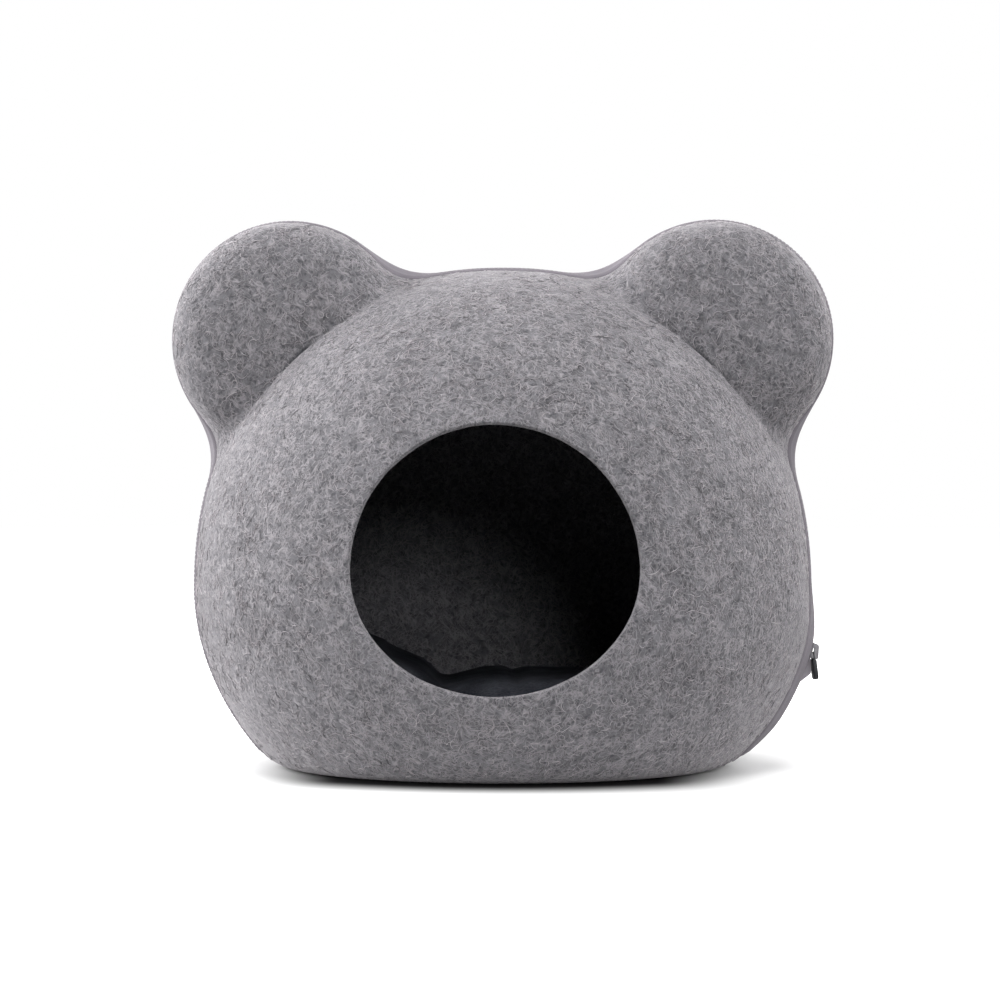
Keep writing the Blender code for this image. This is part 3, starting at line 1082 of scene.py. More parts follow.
def repeated(name: str, pattern: Shape, frames: np.ndarray) -> bpy.types.Mesh:
    """Joins many copies of a small shape in one mesh.

    Args:
        name: The mesh's name.
        pattern: The shape, which is freed.
        frames: One 3 by 4 matrix for each copy, as an array.

    Returns:
        The joined mesh.
    """
    pattern.verts.index_update()
    points = np.array([vert.co for vert in pattern.verts])
    faces = [[vert.index for vert in face.verts] for face in pattern.faces]
    pattern.free()
    copies = np.einsum("nij,pj->npi", frames[:, :, :3], points) + frames[:, None, :, 3]
    count = len(points)
    all_faces = [[index + copy * count for index in face] for copy in range(len(frames)) for face in faces]
    mesh = bpy.data.meshes.new(name)
    mesh.from_pydata(copies.reshape(-1, 3), [], all_faces)
    mesh.update()
    return mesh


def add_to(made: Shape, other: Shape) -> None:
    """Adds another shape to a bmesh, and frees it.

    Args:
        made: The bmesh.
        other: The shape that it takes in.
    """
    mesh = to_mesh("part", other)
    made.from_mesh(mesh)
    bpy.data.meshes.remove(mesh)


def read_points(mesh: bpy.types.Mesh) -> np.ndarray:
    """Reads a mesh's points.

    Args:
        mesh: The mesh.

    Returns:
        One row for each point.
    """
    points = np.empty(len(mesh.vertices) * 3)
    mesh.vertices.foreach_get("co", points)
    return points.reshape(-1, 3)


def write_points(mesh: bpy.types.Mesh, points: np.ndarray) -> None:
    """Moves a mesh's points."""
    mesh.vertices.foreach_set("co", points.ravel())
    mesh.update()


def bead(size: Point, axis: int, segments: tuple[int, int], blunt: float) -> Shape:
    """Shapes a small rounded bar of a few dozen faces.

    Args:
        size: Its length along each axis.
        axis: The axis that it lies along, 0 for X and 1 for Y.
        segments: How many faces it has round that axis, and along it.
        blunt: How round its ends are, from 0, square, to 1, round.

    Returns:
        The bar, about the origin.
    """
    made = bmesh.new()
    bmesh.ops.create_uvsphere(made, u_segments=segments[0], v_segments=segments[1], radius=0.5)
    turn = Matrix.Rotation(math.pi / 2.0, 3, "YX"[axis])
    bmesh.ops.rotate(made, verts=made.verts, matrix=turn)
    for vert in made.verts:
        vert.co[axis] = math.copysign(abs(2.0 * vert.co[axis]) ** blunt / 2.0, vert.co[axis])
    bmesh.ops.scale(made, vec=size, verts=made.verts)
    return made


def round_edges(made: Shape, edges: list[bmesh.types.BMEdge], width: float, steps: int) -> None:
    """Rounds some of a shape's edges.

    Args:
        made: The shape.
        edges: The edges.
        width: How far back each edge is cut.
        steps: How many faces the rounding has.
    """
    bmesh.ops.bevel(
        made, geom=edges, offset=width, segments=steps, affect="EDGES", profile=0.5, material=-1
    )


def round_sharp(made: Shape, width: float, least: float = 0.8) -> None:
    """Rounds a shape's sharp edges, by the normals that its faces have.

    Args:
        made: The shape.
        width: How far back each edge is cut.
        least: The least angle in radians between the faces of a sharp edge.
    """
    round_edges(made, [edge for edge in made.edges if edge.calc_face_angle(0.0) > least], width, 2)


def cut_open(made: Shape, faces: list[bmesh.types.BMFace]) -> None:
    """Cuts a hole through a shape, from one of two faces to the other.

    Args:
        made: The shape.
        faces: The two faces, which lie across from each other.
    """
    rims = list({edge for face in faces for edge in face.edges})
    bmesh.ops.delete(made, geom=faces, context="FACES_ONLY")
    bmesh.ops.bridge_loops(made, edges=rims)


def add_solidify(piece: Object, thickness: float, outward: bool) -> None:
    """Gives an open surface its thickness, on the outer or the inner side.

    Args:
        piece: The surface.
        thickness: Its thickness.
        outward: Whether it grows outward.
    """
    solid = piece.modifiers.new("thickness", "SOLIDIFY")
    solid.thickness = thickness
    solid.offset = 1.0 if outward else -1.0
    solid.use_even_offset = False


def add_bevel(piece: Object, width: float, segments: int = 2) -> None:
    """Rounds a piece's sharp edges.

    Args:
        piece: The piece.
        width: How far back an edge is cut.
        segments: How many faces the rounding has.
    """
    bevel = piece.modifiers.new("soft_edges", "BEVEL")
    bevel.width = width
    bevel.segments = segments
    bevel.limit_method = "ANGLE"
    bevel.angle_limit = math.radians(50.0)
    bevel.profile = 0.5


# The felt.


@dataclass
class FeltShells:
    """Both moulded felt halves, with the felt's slight unevenness in their shape."""

    form: CaveForm
    grid: SkinGrid
    felt: float = 0.0045
    wave: float = 0.00075
    wave_scale: float = 26.0
    lump: float = 0.00016
    lump_scale: float = 150.0
    under_tape: float = 0.0135
    still_base: float = 0.004
    still_edge: float = 0.016
    edge_round: float = 0.0007
    flat_cut: dict[Side, Point] = field(
        default_factory=lambda: {Side.FRONT: (0.56, 0.54, 0.245), Side.BACK: (0.56, 0.54, 0.265)}
    )
    skins: dict[Side, np.ndarray] = field(default_factory=dict)

    def uneven(self, rows: np.ndarray) -> np.ndarray:
        """Moves a skin in and out a little, but not where it meets the zip or stands on its base.

        Args:
            rows: The skin's rows of points.

        Returns:
            The moved rows.
        """
        flat = rows.reshape(-1, 3)
        normals = self.form.normals(flat)
        slow = np.array([noise.fractal(Vector(point * self.wave_scale), 1.0, 2.0, 2) for point in flat])
        fast = np.array([noise.noise(Vector(point * self.lump_scale)) for point in flat])
        off_seam = smooth_step(np.abs(flat[:, 1]), self.under_tape, self.under_tape + self.still_edge)
        above = flat[:, 2] + self.form.centre_z
        off_base = smooth_step(above, self.still_base, self.still_base + self.still_edge)
        move = (slow * self.wave + fast * self.lump) * off_seam * off_base
        return (flat + normals * move[:, None]).reshape(rows.shape)

    def build(self, side: Side, finish: Material, inside: Material) -> Object:
        """Builds one half, which stands for its node.

        Args:
            side: The half.
            finish: The felt of its outer face.
            inside: The felt of its inner face, in darker colours as painted shade.

        Returns:
            The half.
        """
        name = side.name.lower() + "_shell"
        rows = self.uneven(self.grid.skin(side))
        if side is Side.BACK:
            rows[-1] = rows[-1].mean(axis=0)
        self.skins[side] = rows
        piece = from_builder("felt_" + name, draped(rows, self.form, closed=True), finish)
        # The crease's groove, stored so that the felt can paint shade there.
        groove = self.grid.in_groove(read_points(piece.data) - self.form.centre)
        piece.data.attributes.new("groove", "FLOAT", "POINT").data.foreach_set("value", groove)
        add_solidify(piece, self.felt, outward=False)
        piece.data.materials.append(inside)
        piece.modifiers["thickness"].material_offset = 1
        add_bevel(piece, self.edge_round)
        return placed(piece, "felt", name)

    def declare(self, side: Side, piece: Object, loose: Object) -> None:
        """Does nothing."""


@dataclass
class LooseFibres:
    """The curled fibres that lie on a half's outer side, in one joined mesh."""

    form: CaveForm
    count: int = 5600
    points: int = 6
    shortest: float = 0.005
    longest: float = 0.014
    radius: float = 0.00024
    most_turn: float = 5.5
    lift: float = 0.00022
    sunk: float = -0.00015
    seed: int = 11
    dark_share: float = 0.22
    tones: tuple[float, float, float] = (0.15, 0.55, 1.0)
    bare_crease: float = 0.0025
    tape_edge: float = 0.0145
    bare_rows: int = 4

    def starts(self, skin: np.ndarray, pick: np.random.Generator) -> np.ndarray:
        """Picks places spread evenly over a skin's area.

        Args:
            skin: The half's rows of points.
            pick: The random numbers.

        Returns:
            One point for each fibre.
        """
        a, b, c, d = skin[:-1, :-1], skin[1:, :-1], skin[:-1, 1:], skin[1:, 1:]
        area = np.linalg.norm(np.cross(b - a, c - a), axis=-1)
        area += np.linalg.norm(np.cross(b - d, c - d), axis=-1)
        off_base = ((a + d)[..., 2] / 2.0 + self.form.centre_z) > self.form.base_edge / 2.0
        off_tape = np.abs((a + d)[..., 1] / 2.0) > self.tape_edge + self.longest * 0.3
        off_hole = np.ones_like(off_tape)
        if skin[-1, 0, 1] < 0.0:
            off_hole[-self.bare_rows :] = False
        off_crease = self.form.off_crease((a + d) / 2.0) > self.bare_crease
        weight = (area * off_base * off_tape * off_hole * off_crease).ravel()
        cells = pick.choice(len(weight), self.count, p=weight / weight.sum())
        u, v = pick.random((2, self.count, 1))
        corners = [part.reshape(-1, 3)[cells] for part in (a, b, c, d)]
        low = corners[0] * (1.0 - v) + corners[2] * v
        return low * (1.0 - u) + (corners[1] * (1.0 - v) + corners[3] * v) * u

    def paths(self, starts: np.ndarray, pick: np.random.Generator) -> np.ndarray:
        """Draws each fibre's curl over the surface, sunk at both ends and lifted between.

        Args:
            starts: Where the fibres begin.
            pick: The random numbers.

        Returns:
            Points as fibres by points by 3.
        """
        length = pick.uniform(self.shortest, self.longest, self.count)
        heading = pick.uniform(0.0, 2.0 * math.pi, self.count)
        turn = pick.uniform(-self.most_turn, self.most_turn, self.count) / (self.points - 1)
        drift = pick.uniform(-0.25, 0.25, self.count)
        step = length / (self.points - 1)
        here, made = starts, []
        for number in range(self.points):
            share = number / (self.points - 1)
            height = self.sunk + (self.lift - self.sunk) * math.sin(math.pi * share)
            made.append(self.form.settle(here, height, rounds=2))
            normal = self.form.normals(here)
            side = np.cross(normal, [0.0, 0.0, 1.0])
            side += np.cross(normal, [0.0, 1.0, 0.0]) * (np.linalg.norm(side, axis=1, keepdims=True) < 0.2)
            side = unit(side)
            rise = np.cross(side, normal)
            ahead = side * np.cos(heading)[:, None] + rise * np.sin(heading)[:, None]
            here = here + ahead * step[:, None]
            heading = heading + turn * (1.0 + drift * number)
        return np.stack(made, axis=1)

    def tubes(self, paths: np.ndarray) -> tuple[np.ndarray, list[list[int]]]:
        """Gives each path a three-sided tube that thins out towards its ends.

        Args:
            paths: Points as fibres by points by 3.

        Returns:
            The points and the faces.
        """
        ahead = unit(np.gradient(paths, axis=1))
        up = self.form.normals(paths)
        aside = unit(np.cross(ahead, up))
        share = np.linspace(0.0, 1.0, self.points)
        thick = self.radius * (0.35 + 0.65 * np.sin(math.pi * share))[None, :, None]
        corners = []
        for number in range(3):
            turn = 2.0 * math.pi * number / 3.0
            corners.append(paths + (up * math.cos(turn) + aside * math.sin(turn)) * thick)
        points = np.stack(corners, axis=2).reshape(-1, 3)
        faces = []
        for fibre in range(self.count):
            first = fibre * self.points * 3
            for ring in range(self.points - 1):
                at = first + ring * 3
                faces += [[at + k, at + (k + 1) % 3, at + 3 + (k + 1) % 3, at + 3 + k] for k in range(3)]
            last = first + (self.points - 1) * 3
            faces += [[first + 2, first + 1, first], [last, last + 1, last + 2]]
        return points, faces

    def build(self, side: Side, skin: np.ndarray, finish: Material) -> Object:
        """Builds the fibres of one half.

        Args:
            side: The half.
            skin: Its rows of points.
            finish: The fibres' material.

        Returns:
            The fibres.
        """
        pick = np.random.default_rng(self.seed + (side is Side.BACK))
        paths = self.paths(self.starts(skin, pick), pick)
        points, faces = self.tubes(paths)
        mesh = bpy.data.meshes.new("loose_fibres")
        mesh.from_pydata(points + self.form.centre, [], faces)
        mesh.update()
        dark, least, most = self.tones
        is_dark = pick.random(self.count) < self.dark_share
        tone = np.where(is_dark, dark, pick.uniform(least, most, self.count))
        attribute = mesh.attributes.new("tone", "FLOAT", "POINT")
        attribute.data.foreach_set("value", np.repeat(tone, self.points * 3).astype(np.float32))
        return placed(finish_piece(f"loose_fibres_{side.name.lower()}", mesh, finish), "felt")


# The zip.


@dataclass(frozen=True)
class ZipPath:
    """Where the zip runs over the seam, from the base's right-hand corner over both ears to its left."""

    form: CaveForm
    grid: SkinGrid
    touch: float = 0.00045
    inner: float = 0.00235
    outer: float = 0.0135
    outer_columns: float = 0.0145
    blend: float = 0.038
    blend_outer: float = 0.003
    proud: float = 0.0030
    slider_angle: float = -11.0
    slider_length: float = 0.0120
    coil: float = 0.00145
    end_sink: float = 0.0026
    end_run: float = 0.055
    samples: int = 1600
    aside: float = 0.0003

    @cached_property
    def ends(self) -> tuple[float, float]:
        """The angles of the zip's two ends."""
        angles = self.angles(self.form.seam_half_slit)
        return float(angles[0]), float(angles[-1])

    def tape_blend(self, y: np.ndarray) -> np.ndarray:
        """Gives the zip's own blend at the necks, which it bridges more the nearer the seam it is."""
        edge = self.form.felt_blend(y) + self.blend_outer
        return self.blend + (edge - self.blend) * smooth_step(np.abs(y), self.inner, self.outer)

    def angles(self, y: float) -> np.ndarray:
        """Gives the angles of the zip's columns in a slice.

        Args:
            y: The slice's place.

        Returns:
            One angle for each column.
        """
        across = smooth_step(np.array(abs(y)), self.inner, self.outer)
        first = self.grid.base_columns
        last = 2 * sum(self.grid.columns) - first + 1
        near = self.grid.angles(math.copysign(self.form.seam_half_slit, y))[first:last]
        far = self.grid.angles(math.copysign(self.outer_columns, y))[first:last]
        return near + (far - near) * across

    def ring(self, angles: np.ndarray, y: float, lift: float = 0.0) -> np.ndarray:
        """Gives points over the seam.

        Args:
            angles: Angles about the Y axis.
            y: How far in front of the seam, negative, or behind it.
            lift: How far above the zip's underside.

        Returns:
            One point for each angle, about the body's centre.
        """
        share = 1.0 - smooth_step(np.array(abs(y)), self.inner, self.outer)
        under = self.form.on_slice(angles, y, self.touch, self.tape_blend)
        away = unit(under * [1.0, 0.0, 1.0])
        inward = np.minimum(angles - self.ends[0], self.ends[1] - angles)
        lift = lift - self.end_sink * (1.0 - smooth_step(inward, 0.0, self.end_run))
        return under + away * (lift + share * self.proud * self.form.low_right(angles))[..., None]

    def slider_span(self) -> np.ndarray:
        """Gives the angles of the slider's lower and upper end."""
        half = self.slider_length / 2.0 / self.form.body_half_width
        return math.radians(self.slider_angle) + np.array([-half, half])

    def slider_seat(self) -> tuple[np.ndarray, float]:
        """Gives the middle of the teeth's outer face under the slider, and its tilt about Y."""
        low, high = self.ring(self.slider_span(), 0.0, self.coil)
        return (low + high) / 2.0, math.atan2(high[0] - low[0], high[2] - low[2])

    def seat_place(self, lift: float) -> Matrix:
        """Gives the slider's place in the cave's frame, with +X away from the cave.

        Args:
            lift: How far the slider stands off the teeth.

        Returns:
            The place.
        """
        seat, tilt = self.slider_seat()
        away = np.array([math.cos(tilt), 0.0, -math.sin(tilt)])
        place = seat + self.form.centre + lift * away
        return Matrix.Translation(place) @ Matrix.Rotation(tilt, 4, "Y")

    def frames(self, y: float, lift: float, pitch: float, start: float | None = None) -> np.ndarray:
        """Gives evenly spaced places along the zip, with X along it, Y to the back and Z away from it.

        Args:
            y: The line's distance from the seam.
            lift: The line's height above the zip's underside.
            pitch: The distance between two places.
            start: The angle at which the line begins, or None for the zip's own end.

        Returns:
            One 3 by 4 matrix for each place.
        """
        angles = self.angles(self.form.seam_half_slit)
        if start is not None:
            angles = np.concatenate([[start], angles[angles > start + 0.001]])
        fine = np.linspace(0.0, len(angles) - 1.0, self.samples)
        fine = np.interp(fine, np.arange(len(angles)), angles)
        aside = self.aside
        before, middle, behind = (self.ring(fine, y + shift, lift) for shift in (-aside, 0.0, aside))
        along = running(middle)
        stops = np.arange(pitch / 2.0, along[-1], pitch)

        def at_stops(line: np.ndarray) -> np.ndarray:
            """Reads a line of points at the stops."""
            return np.stack([np.interp(stops, along, line[:, axis]) for axis in range(3)], axis=-1)

        ahead = unit(at_stops(np.gradient(middle, axis=0)))
        up = unit(np.cross(ahead, at_stops(behind - before)))
        place = at_stops(middle)
        up *= np.sign((up * place).sum(1, keepdims=True))
        return np.stack([ahead, np.cross(up, ahead), up, place + self.form.centre], axis=-1)


@dataclass
class ZipTapes:
    """The two woven tapes, each sewn on with a line of thread."""

    path: ZipPath
    thickness: float = 0.0012
    rows: int = 8
    rise: float = 0.00065
    high_to: float = 0.0046
    turned_in: tuple[tuple[float, float], ...] = ((0.0144, -0.0003), (0.0148, -0.0011))
    edge_round: float = 0.00022
    stitch: float = 0.0026
    stitch_pitch: float = 0.0034
    stitch_line: float = 0.0112
    thread: float = 0.00055
    flat: tuple[float, float] = (0.0145, 1.26)

    def lift(self, y: float) -> float:
        """Gives how far the tape rises towards the teeth, beside them."""
        fall = smooth_step(np.array(abs(y)), self.high_to, self.path.outer)
        return float(self.rise * (1.0 - fall))

    def build_tape(self, side: Side, finish: Material) -> Object:
        """Builds one tape, which stands for its node.

        Args:
            side: The tape's side.
            finish: Its cloth.

        Returns:
            The tape.
        """
        places = side.value * np.linspace(self.path.inner, self.path.outer, self.rows)
        rows = [self.path.ring(self.path.angles(y), y, self.lift(y)) for y in places]
        for place, depth in self.turned_in:
            y = side.value * place
            rows.append(self.path.form.on_slice(self.path.angles(y), y, depth))
        name = f"zip_tape_{side.name.lower()}"
        made = draped(np.array(rows), self.path.form, closed=False)
        piece = from_builder(f"woven_{name}", made, finish)
        add_solidify(piece, self.thickness, outward=True)
        add_bevel(piece, self.edge_round)
        return placed(piece, "zip_tape", name)

    def build_stitches(self, side: Side, finish: Material) -> Object:
        """Sews a line of stitches near the tape's outer edge.

        Args:
            side: The tape's side.
            finish: The thread.

        Returns:
            The stitches.
        """
        lift = self.lift(self.stitch_line) + self.thickness + self.thread * 0.15
        frames = self.path.frames(side.value * self.stitch_line, lift, self.stitch_pitch)
        pattern = bead((self.stitch, self.thread, self.thread), 0, (8, 5), 0.7)
        mesh = repeated("tape_stitches", pattern, frames)
        return placed(finish_piece(f"tape_stitches_{side.name.lower()}", mesh, finish), "zip_tape")

    def build(self, side: Side, cloth: Material, thread: Material) -> list[Object]:
        """Builds a tape with its stitches.

        Args:
            side: The tape's side.
            cloth: Its cloth.
            thread: The stitches' thread.

        Returns:
            The tape and its stitches.
        """
        tape = self.build_tape(side, cloth)
        stitches = self.build_stitches(side, thread)
        return [tape, stitches]


@dataclass
class ZipTeeth:
    """The closed nylon teeth, on a core strip, with dark thread loops beside them."""

    path: ZipPath
    pitch: float = 0.00184
    width: float = 0.00122
    reach: float = 0.0020
    overlap: float = 0.0006
    height: float = 0.00105
    core: float = 0.0007
    loop_pitch: float = 0.0055
    loop: Point = (0.0008, 0.0030, 0.0006)

    def build_core(self, finish: Material) -> Object:
        """Builds the flat strip under the teeth.

        Args:
            finish: The nylon.

        Returns:
            The strip.
        """
        angles = self.path.angles(self.path.form.seam_half_slit)
        first = self.path.slider_span()[0]
        angles = np.concatenate([[first], angles[angles > first + 0.004]])
        rows = np.array([self.path.ring(angles, y) for y in np.linspace(-self.reach, self.reach, 3)])
        piece = from_builder("zip_core_strip", draped(rows, self.path.form, closed=False), finish)
        add_solidify(piece, self.core, outward=True)
        return placed(piece, "zip_coil")

    def tooth(self, side: Side) -> Shape:
        """Shapes one tooth, which reaches from its own tape across the middle.

        Args:
            side: The tape that it belongs to.

        Returns:
            The tooth, about the seam.
        """
        length = self.reach + self.overlap
        made = bead((self.width, length, self.height), 1, (6, 4), 0.6)
        aside = side.value * (self.reach - length / 2.0)
        bmesh.ops.translate(made, verts=made.verts, vec=(0.0, aside, 0.0))
        return made

    def build_teeth(self, side: Side, finish: Material) -> Object:
        """Builds the teeth of one side, which lie between those of the other.

        Args:
            side: The tape that they belong to.
            finish: The nylon.

        Returns:
            The teeth.
        """
        lift = self.path.coil - self.height / 2.0
        frames = self.path.frames(0.0, lift, self.pitch / 2.0, self.path.slider_span()[0])
        mesh = repeated("teeth", self.tooth(side), frames[0 if side is Side.FRONT else 1 :: 2])
        piece = finish_piece(f"zip_teeth_{side.name.lower()}", mesh, finish)
        return placed(piece, "zip_coil", "zip_coil")

    def build_loops(self, side: Side, finish: Material) -> Object:
        """Builds the dark thread loops that hold the teeth to one tape.

        Args:
            side: The tape's side.
            finish: The thread.

        Returns:
            The loops.
        """
        middle = side.value * (self.path.inner + self.loop[1] * 0.3)
        lift = self.path.coil + self.loop[2] * 0.2
        frames = self.path.frames(middle, lift, self.loop_pitch)
        pattern = bmesh.new()
        bmesh.ops.create_uvsphere(pattern, u_segments=6, v_segments=5, radius=0.5)
        bmesh.ops.scale(pattern, vec=self.loop, verts=pattern.verts)
        mesh = repeated("loops", pattern, frames)
        return placed(finish_piece(f"zip_loops_{side.name.lower()}", mesh, finish), "zip_coil")

    def build(self, nylon: Material, thread: Material) -> list[Object]:
        """Builds the strip, both rows of teeth and the loops.

        Args:
            nylon: The strip's and the teeth's material.
            thread: The loops' thread.

        Returns:
            The five pieces.
        """
        pieces = [self.build_core(nylon)]
        for side in Side:
            pieces += [self.build_teeth(side, nylon), self.build_loops(side, thread)]
        return pieces


@dataclass
class ZipSlider:
    """The slider: a rounded plate with raised sides, and the bridge that its pull hangs from."""

    path: ZipPath
    lift: float = 0.00020
    plate: Point = (0.0009, 0.0092, 0.0120)
    plate_round: float = 0.0005
    rib: Point = (0.0005, 0.0011, 0.0100)
    rib_round: float = 0.0003
    bridge_height: float = 0.0112
    bridge_width: float = 0.0034
    bridge_reach: float = 0.0061
    bridge_gap: float = 0.0013
    bridge_leg: float = 0.0036
    bridge_upright: float = 0.7
    bridge_corner: float = 0.0020
    bridge_round: float = 0.00035

    def add_bar(self, made: Shape, size: tuple, middle: tuple, edge: float) -> None:
        """Adds a bar with rounded edges.

        Args:
            made: The shape that takes the bar in.
            size: The bar's size.
            middle: Its middle.
            edge: How far back its edges are cut.
        """
        verts = bmesh.ops.create_cube(made, size=1.0)["verts"]
        bmesh.ops.scale(made, vec=size, verts=verts)
        bmesh.ops.translate(made, vec=middle, verts=verts)
        round_edges(made, list({item for vert in verts for item in vert.link_edges}), edge, 3)

    def add_bridge(self, made: Shape) -> None:
        """Adds the bridge, a ring whose outer corners are well rounded.

        Args:
            made: The shape that takes the bridge in.
        """
        foot, reach = self.plate[0] / 2.0, self.bridge_reach
        ring = bmesh.new()
        bmesh.ops.create_cube(ring, size=1.0)
        size = (reach - foot, self.bridge_width, self.bridge_height)
        bmesh.ops.scale(ring, vec=size, verts=ring.verts)
        bmesh.ops.translate(ring, vec=((reach + foot) / 2.0, 0.0, 0.0), verts=ring.verts)
        ring.normal_update()
        sides = [face for face in ring.faces if abs(face.normal.y) > 0.9]
        bmesh.ops.inset_individual(ring, faces=sides, thickness=0.001)
        for vert in {vert for face in sides for vert in face.verts}:
            is_outer = vert.co.x > (reach + foot) / 2.0
            vert.co.x = self.plate[0] + self.bridge_gap if is_outer else foot + 0.0002
            vert.co.z = math.copysign(self.bridge_height / 2.0 - self.bridge_leg, vert.co.z)
        lean = self.bridge_upright * math.tan(self.path.slider_seat()[1])
        for vert in ring.verts:
            vert.co.x -= lean * vert.co.z * (vert.co.x - foot) / (reach - foot)
        cut_open(ring, sides)
        ring.normal_update()
        corners = [
            edge for edge in ring.edges
            if abs(edge.verts[0].co.y - edge.verts[1].co.y) > 0.9 * self.bridge_width
            and min(vert.co.x for vert in edge.verts) > self.plate[0] + self.bridge_gap + 0.0002
        ]
        round_edges(ring, corners, self.bridge_corner, 7)
        round_sharp(ring, self.bridge_round)
        add_to(made, ring)

    def build(self, finish: Material) -> Object:
        """Builds the slider, which stands for its node.

        Args:
            finish: The slider's paint.

        Returns:
            The slider.
        """
        thick, wide, _ = self.plate
        made = bmesh.new()
        self.add_bar(made, self.plate, (thick / 2.0, 0.0, 0.0), self.plate_round)
        for sign in (-1.0, 1.0):
            aside = sign * (wide - self.rib[1]) / 2.0
            self.add_bar(made, self.rib, (thick + 0.0001, aside, 0.0), self.rib_round)
        self.add_bridge(made)
        bmesh.ops.transform(made, matrix=self.path.seat_place(self.lift), verts=made.verts)
        return placed(from_builder("zip_slider_body", made, finish), "slider_metal", "zip_slider")


@dataclass
class ZipPull:
    """The dark pull that hangs by its bar from the slider's bridge."""

    slider: ZipSlider
    length: float = 0.0204
    width: float = 0.0076
    thick: float = 0.0031
    eye: tuple[float, float] = (0.0044, 0.0046)
    bar: float = 0.0009
    clear: float = 0.0002
    lean: float = 7.0
    twist: float = 14.0
    shoulder: float = 0.0008
    eye_foot_rise: float = 0.0006
    foot_round: float = 0.0026
    edge_round: float = 0.0004

    def place(self) -> Matrix:
        """Gives the place of the pull's bar, low in the bridge's gap.

        Returns:
            The place in the cave's frame.
        """
        slider = self.slider
        out = slider.plate[0] + slider.bridge_gap / 2.0
        down = slider.bridge_height / 2.0 - slider.bridge_leg - self.bar / 2.0 - self.clear
        seat = slider.path.seat_place(slider.lift)
        where = seat @ Vector((out, 0.0, -down))
        leaned = Matrix.Rotation(math.radians(-self.lean), 4, "Y")
        twisted = Matrix.Rotation(math.radians(self.twist), 4, "Z")
        return Matrix.Translation(where) @ leaned @ twisted

    def build(self, finish: Material) -> Object:
        """Builds the pull, which stands for its node.

        Args:
            finish: The pull's paint.

        Returns:
            The pull.
        """
        made = bmesh.new()
        bmesh.ops.create_cube(made, size=1.0)
        bmesh.ops.scale(made, vec=(self.thick, self.width, self.length), verts=made.verts)
        bmesh.ops.translate(made, vec=(0.0, 0.0, (self.bar - self.length) / 2.0), verts=made.verts)
        top = self.bar / 2.0
        eye_top, eye_foot = top - self.bar, top - self.bar - self.eye[1]
        for height in (eye_foot - self.shoulder, eye_foot, eye_top):
            cut = made.verts[:] + made.edges[:] + made.faces[:]
            bmesh.ops.bisect_plane(made, geom=cut, plane_co=(0.0, 0.0, height), plane_no=(0.0, 0.0, 1.0))
        made.normal_update()
        cheeks = [
            face for face in made.faces
            if abs(face.normal.x) > 0.9 and eye_foot < face.calc_center_median().z < eye_top
        ]
        bmesh.ops.inset_individual(made, faces=cheeks, thickness=(self.width - self.eye[0]) / 2.0)
        for vert in {vert for face in cheeks for vert in face.verts}:
            is_low = vert.co.z < (eye_foot + top) / 2.0
            vert.co.z = eye_foot + self.eye_foot_rise if is_low else eye_top - 0.0002
        cut_open(made, cheeks)
        for vert in made.verts:
            if vert.co.z > eye_foot - 0.0001:
                vert.co.x *= self.bar / self.thick
        lowest = top - self.length + 0.0001
        ends = [
            edge for edge in made.edges
            if all(vert.co.z < lowest for vert in edge.verts)
            and abs(edge.verts[0].co.x - edge.verts[1].co.x) > self.thick / 2.0
        ]
        round_edges(made, ends, self.foot_round, 5)
        made.normal_update()
        round_sharp(made, self.edge_round)
        bmesh.ops.recalc_face_normals(made, faces=made.faces)
        bmesh.ops.transform(made, matrix=self.place(), verts=made.verts)
        return placed(from_builder("zip_pull_tab", made, finish), "pull_metal", "zip_pull")


@dataclass
class ZipEndTab:
    """The tapes' loose end, folded double, which stands off below the slider."""

    path: ZipPath
    thick: float = 0.0020
    angles: tuple[float, float] = (-18.3, -14.5)
    behind_slider: tuple[tuple[float, float], ...] = (
        (-0.0012, -0.0040), (0.0002, -0.0066), (0.0004, -0.0120), (0.0004, -0.0172),
    )
    foot: tuple[float, float] = (0.0045, 0.0010)
    edge_round: float = 0.0005
    wave: float = 0.0004
    wave_scale: float = 240.0
    flat: tuple[float, float] = (0.010, 0.019)

    def build(self, finish: Material) -> Object:
        """Builds the tab, which stands for its node.

        Args:
            finish: The tab's cloth, a lighter copy of the tape's as painted light.

        Returns:
            The tab.
        """
        seat, _ = self.path.slider_seat()
        low, high = self.path.form.on_slice(np.radians(self.angles), 0.0, self.path.touch)
        corners = [low, high, *(seat + [out, 0.0, up] for out, up in self.behind_slider)]
        corners.append(low + [self.foot[0], 0.0, self.foot[1]])
        made = bmesh.new()
        verts = [made.verts.new(corner - [0.0, self.thick / 2.0, 0.0]) for corner in corners]
        face = made.faces.new(verts)
        result = bmesh.ops.extrude_face_region(made, geom=[face])["geom"]
        moved = [item for item in result if isinstance(item, bmesh.types.BMVert)]
        bmesh.ops.translate(made, vec=(0.0, self.thick, 0.0), verts=moved)
        bmesh.ops.recalc_face_normals(made, faces=made.faces)
        round_edges(made, made.edges[:], self.edge_round, 2)
        bmesh.ops.triangulate(made, faces=[item for item in made.faces if len(item.verts) > 4])
        bmesh.ops.subdivide_edges(made, edges=made.edges[:], cuts=2, use_grid_fill=True)
        for vert in made.verts:
            where = Vector((vert.co.x, 0.0, vert.co.z)) * self.wave_scale
            vert.co.y += self.wave * noise.noise(where)
        layer = made.loops.layers.uv.new("cloth")
        for loop in (loop for face in made.faces for loop in face.loops):
            loop[layer].uv = (loop.vert.co.x, loop.vert.co.z)
        bmesh.ops.translate(made, verts=made.verts, vec=self.path.form.centre)
        piece = placed(from_builder("folded_zip_end", made, finish), "zip_tape", "zip_end_tab")
        return piece


# The cushion.


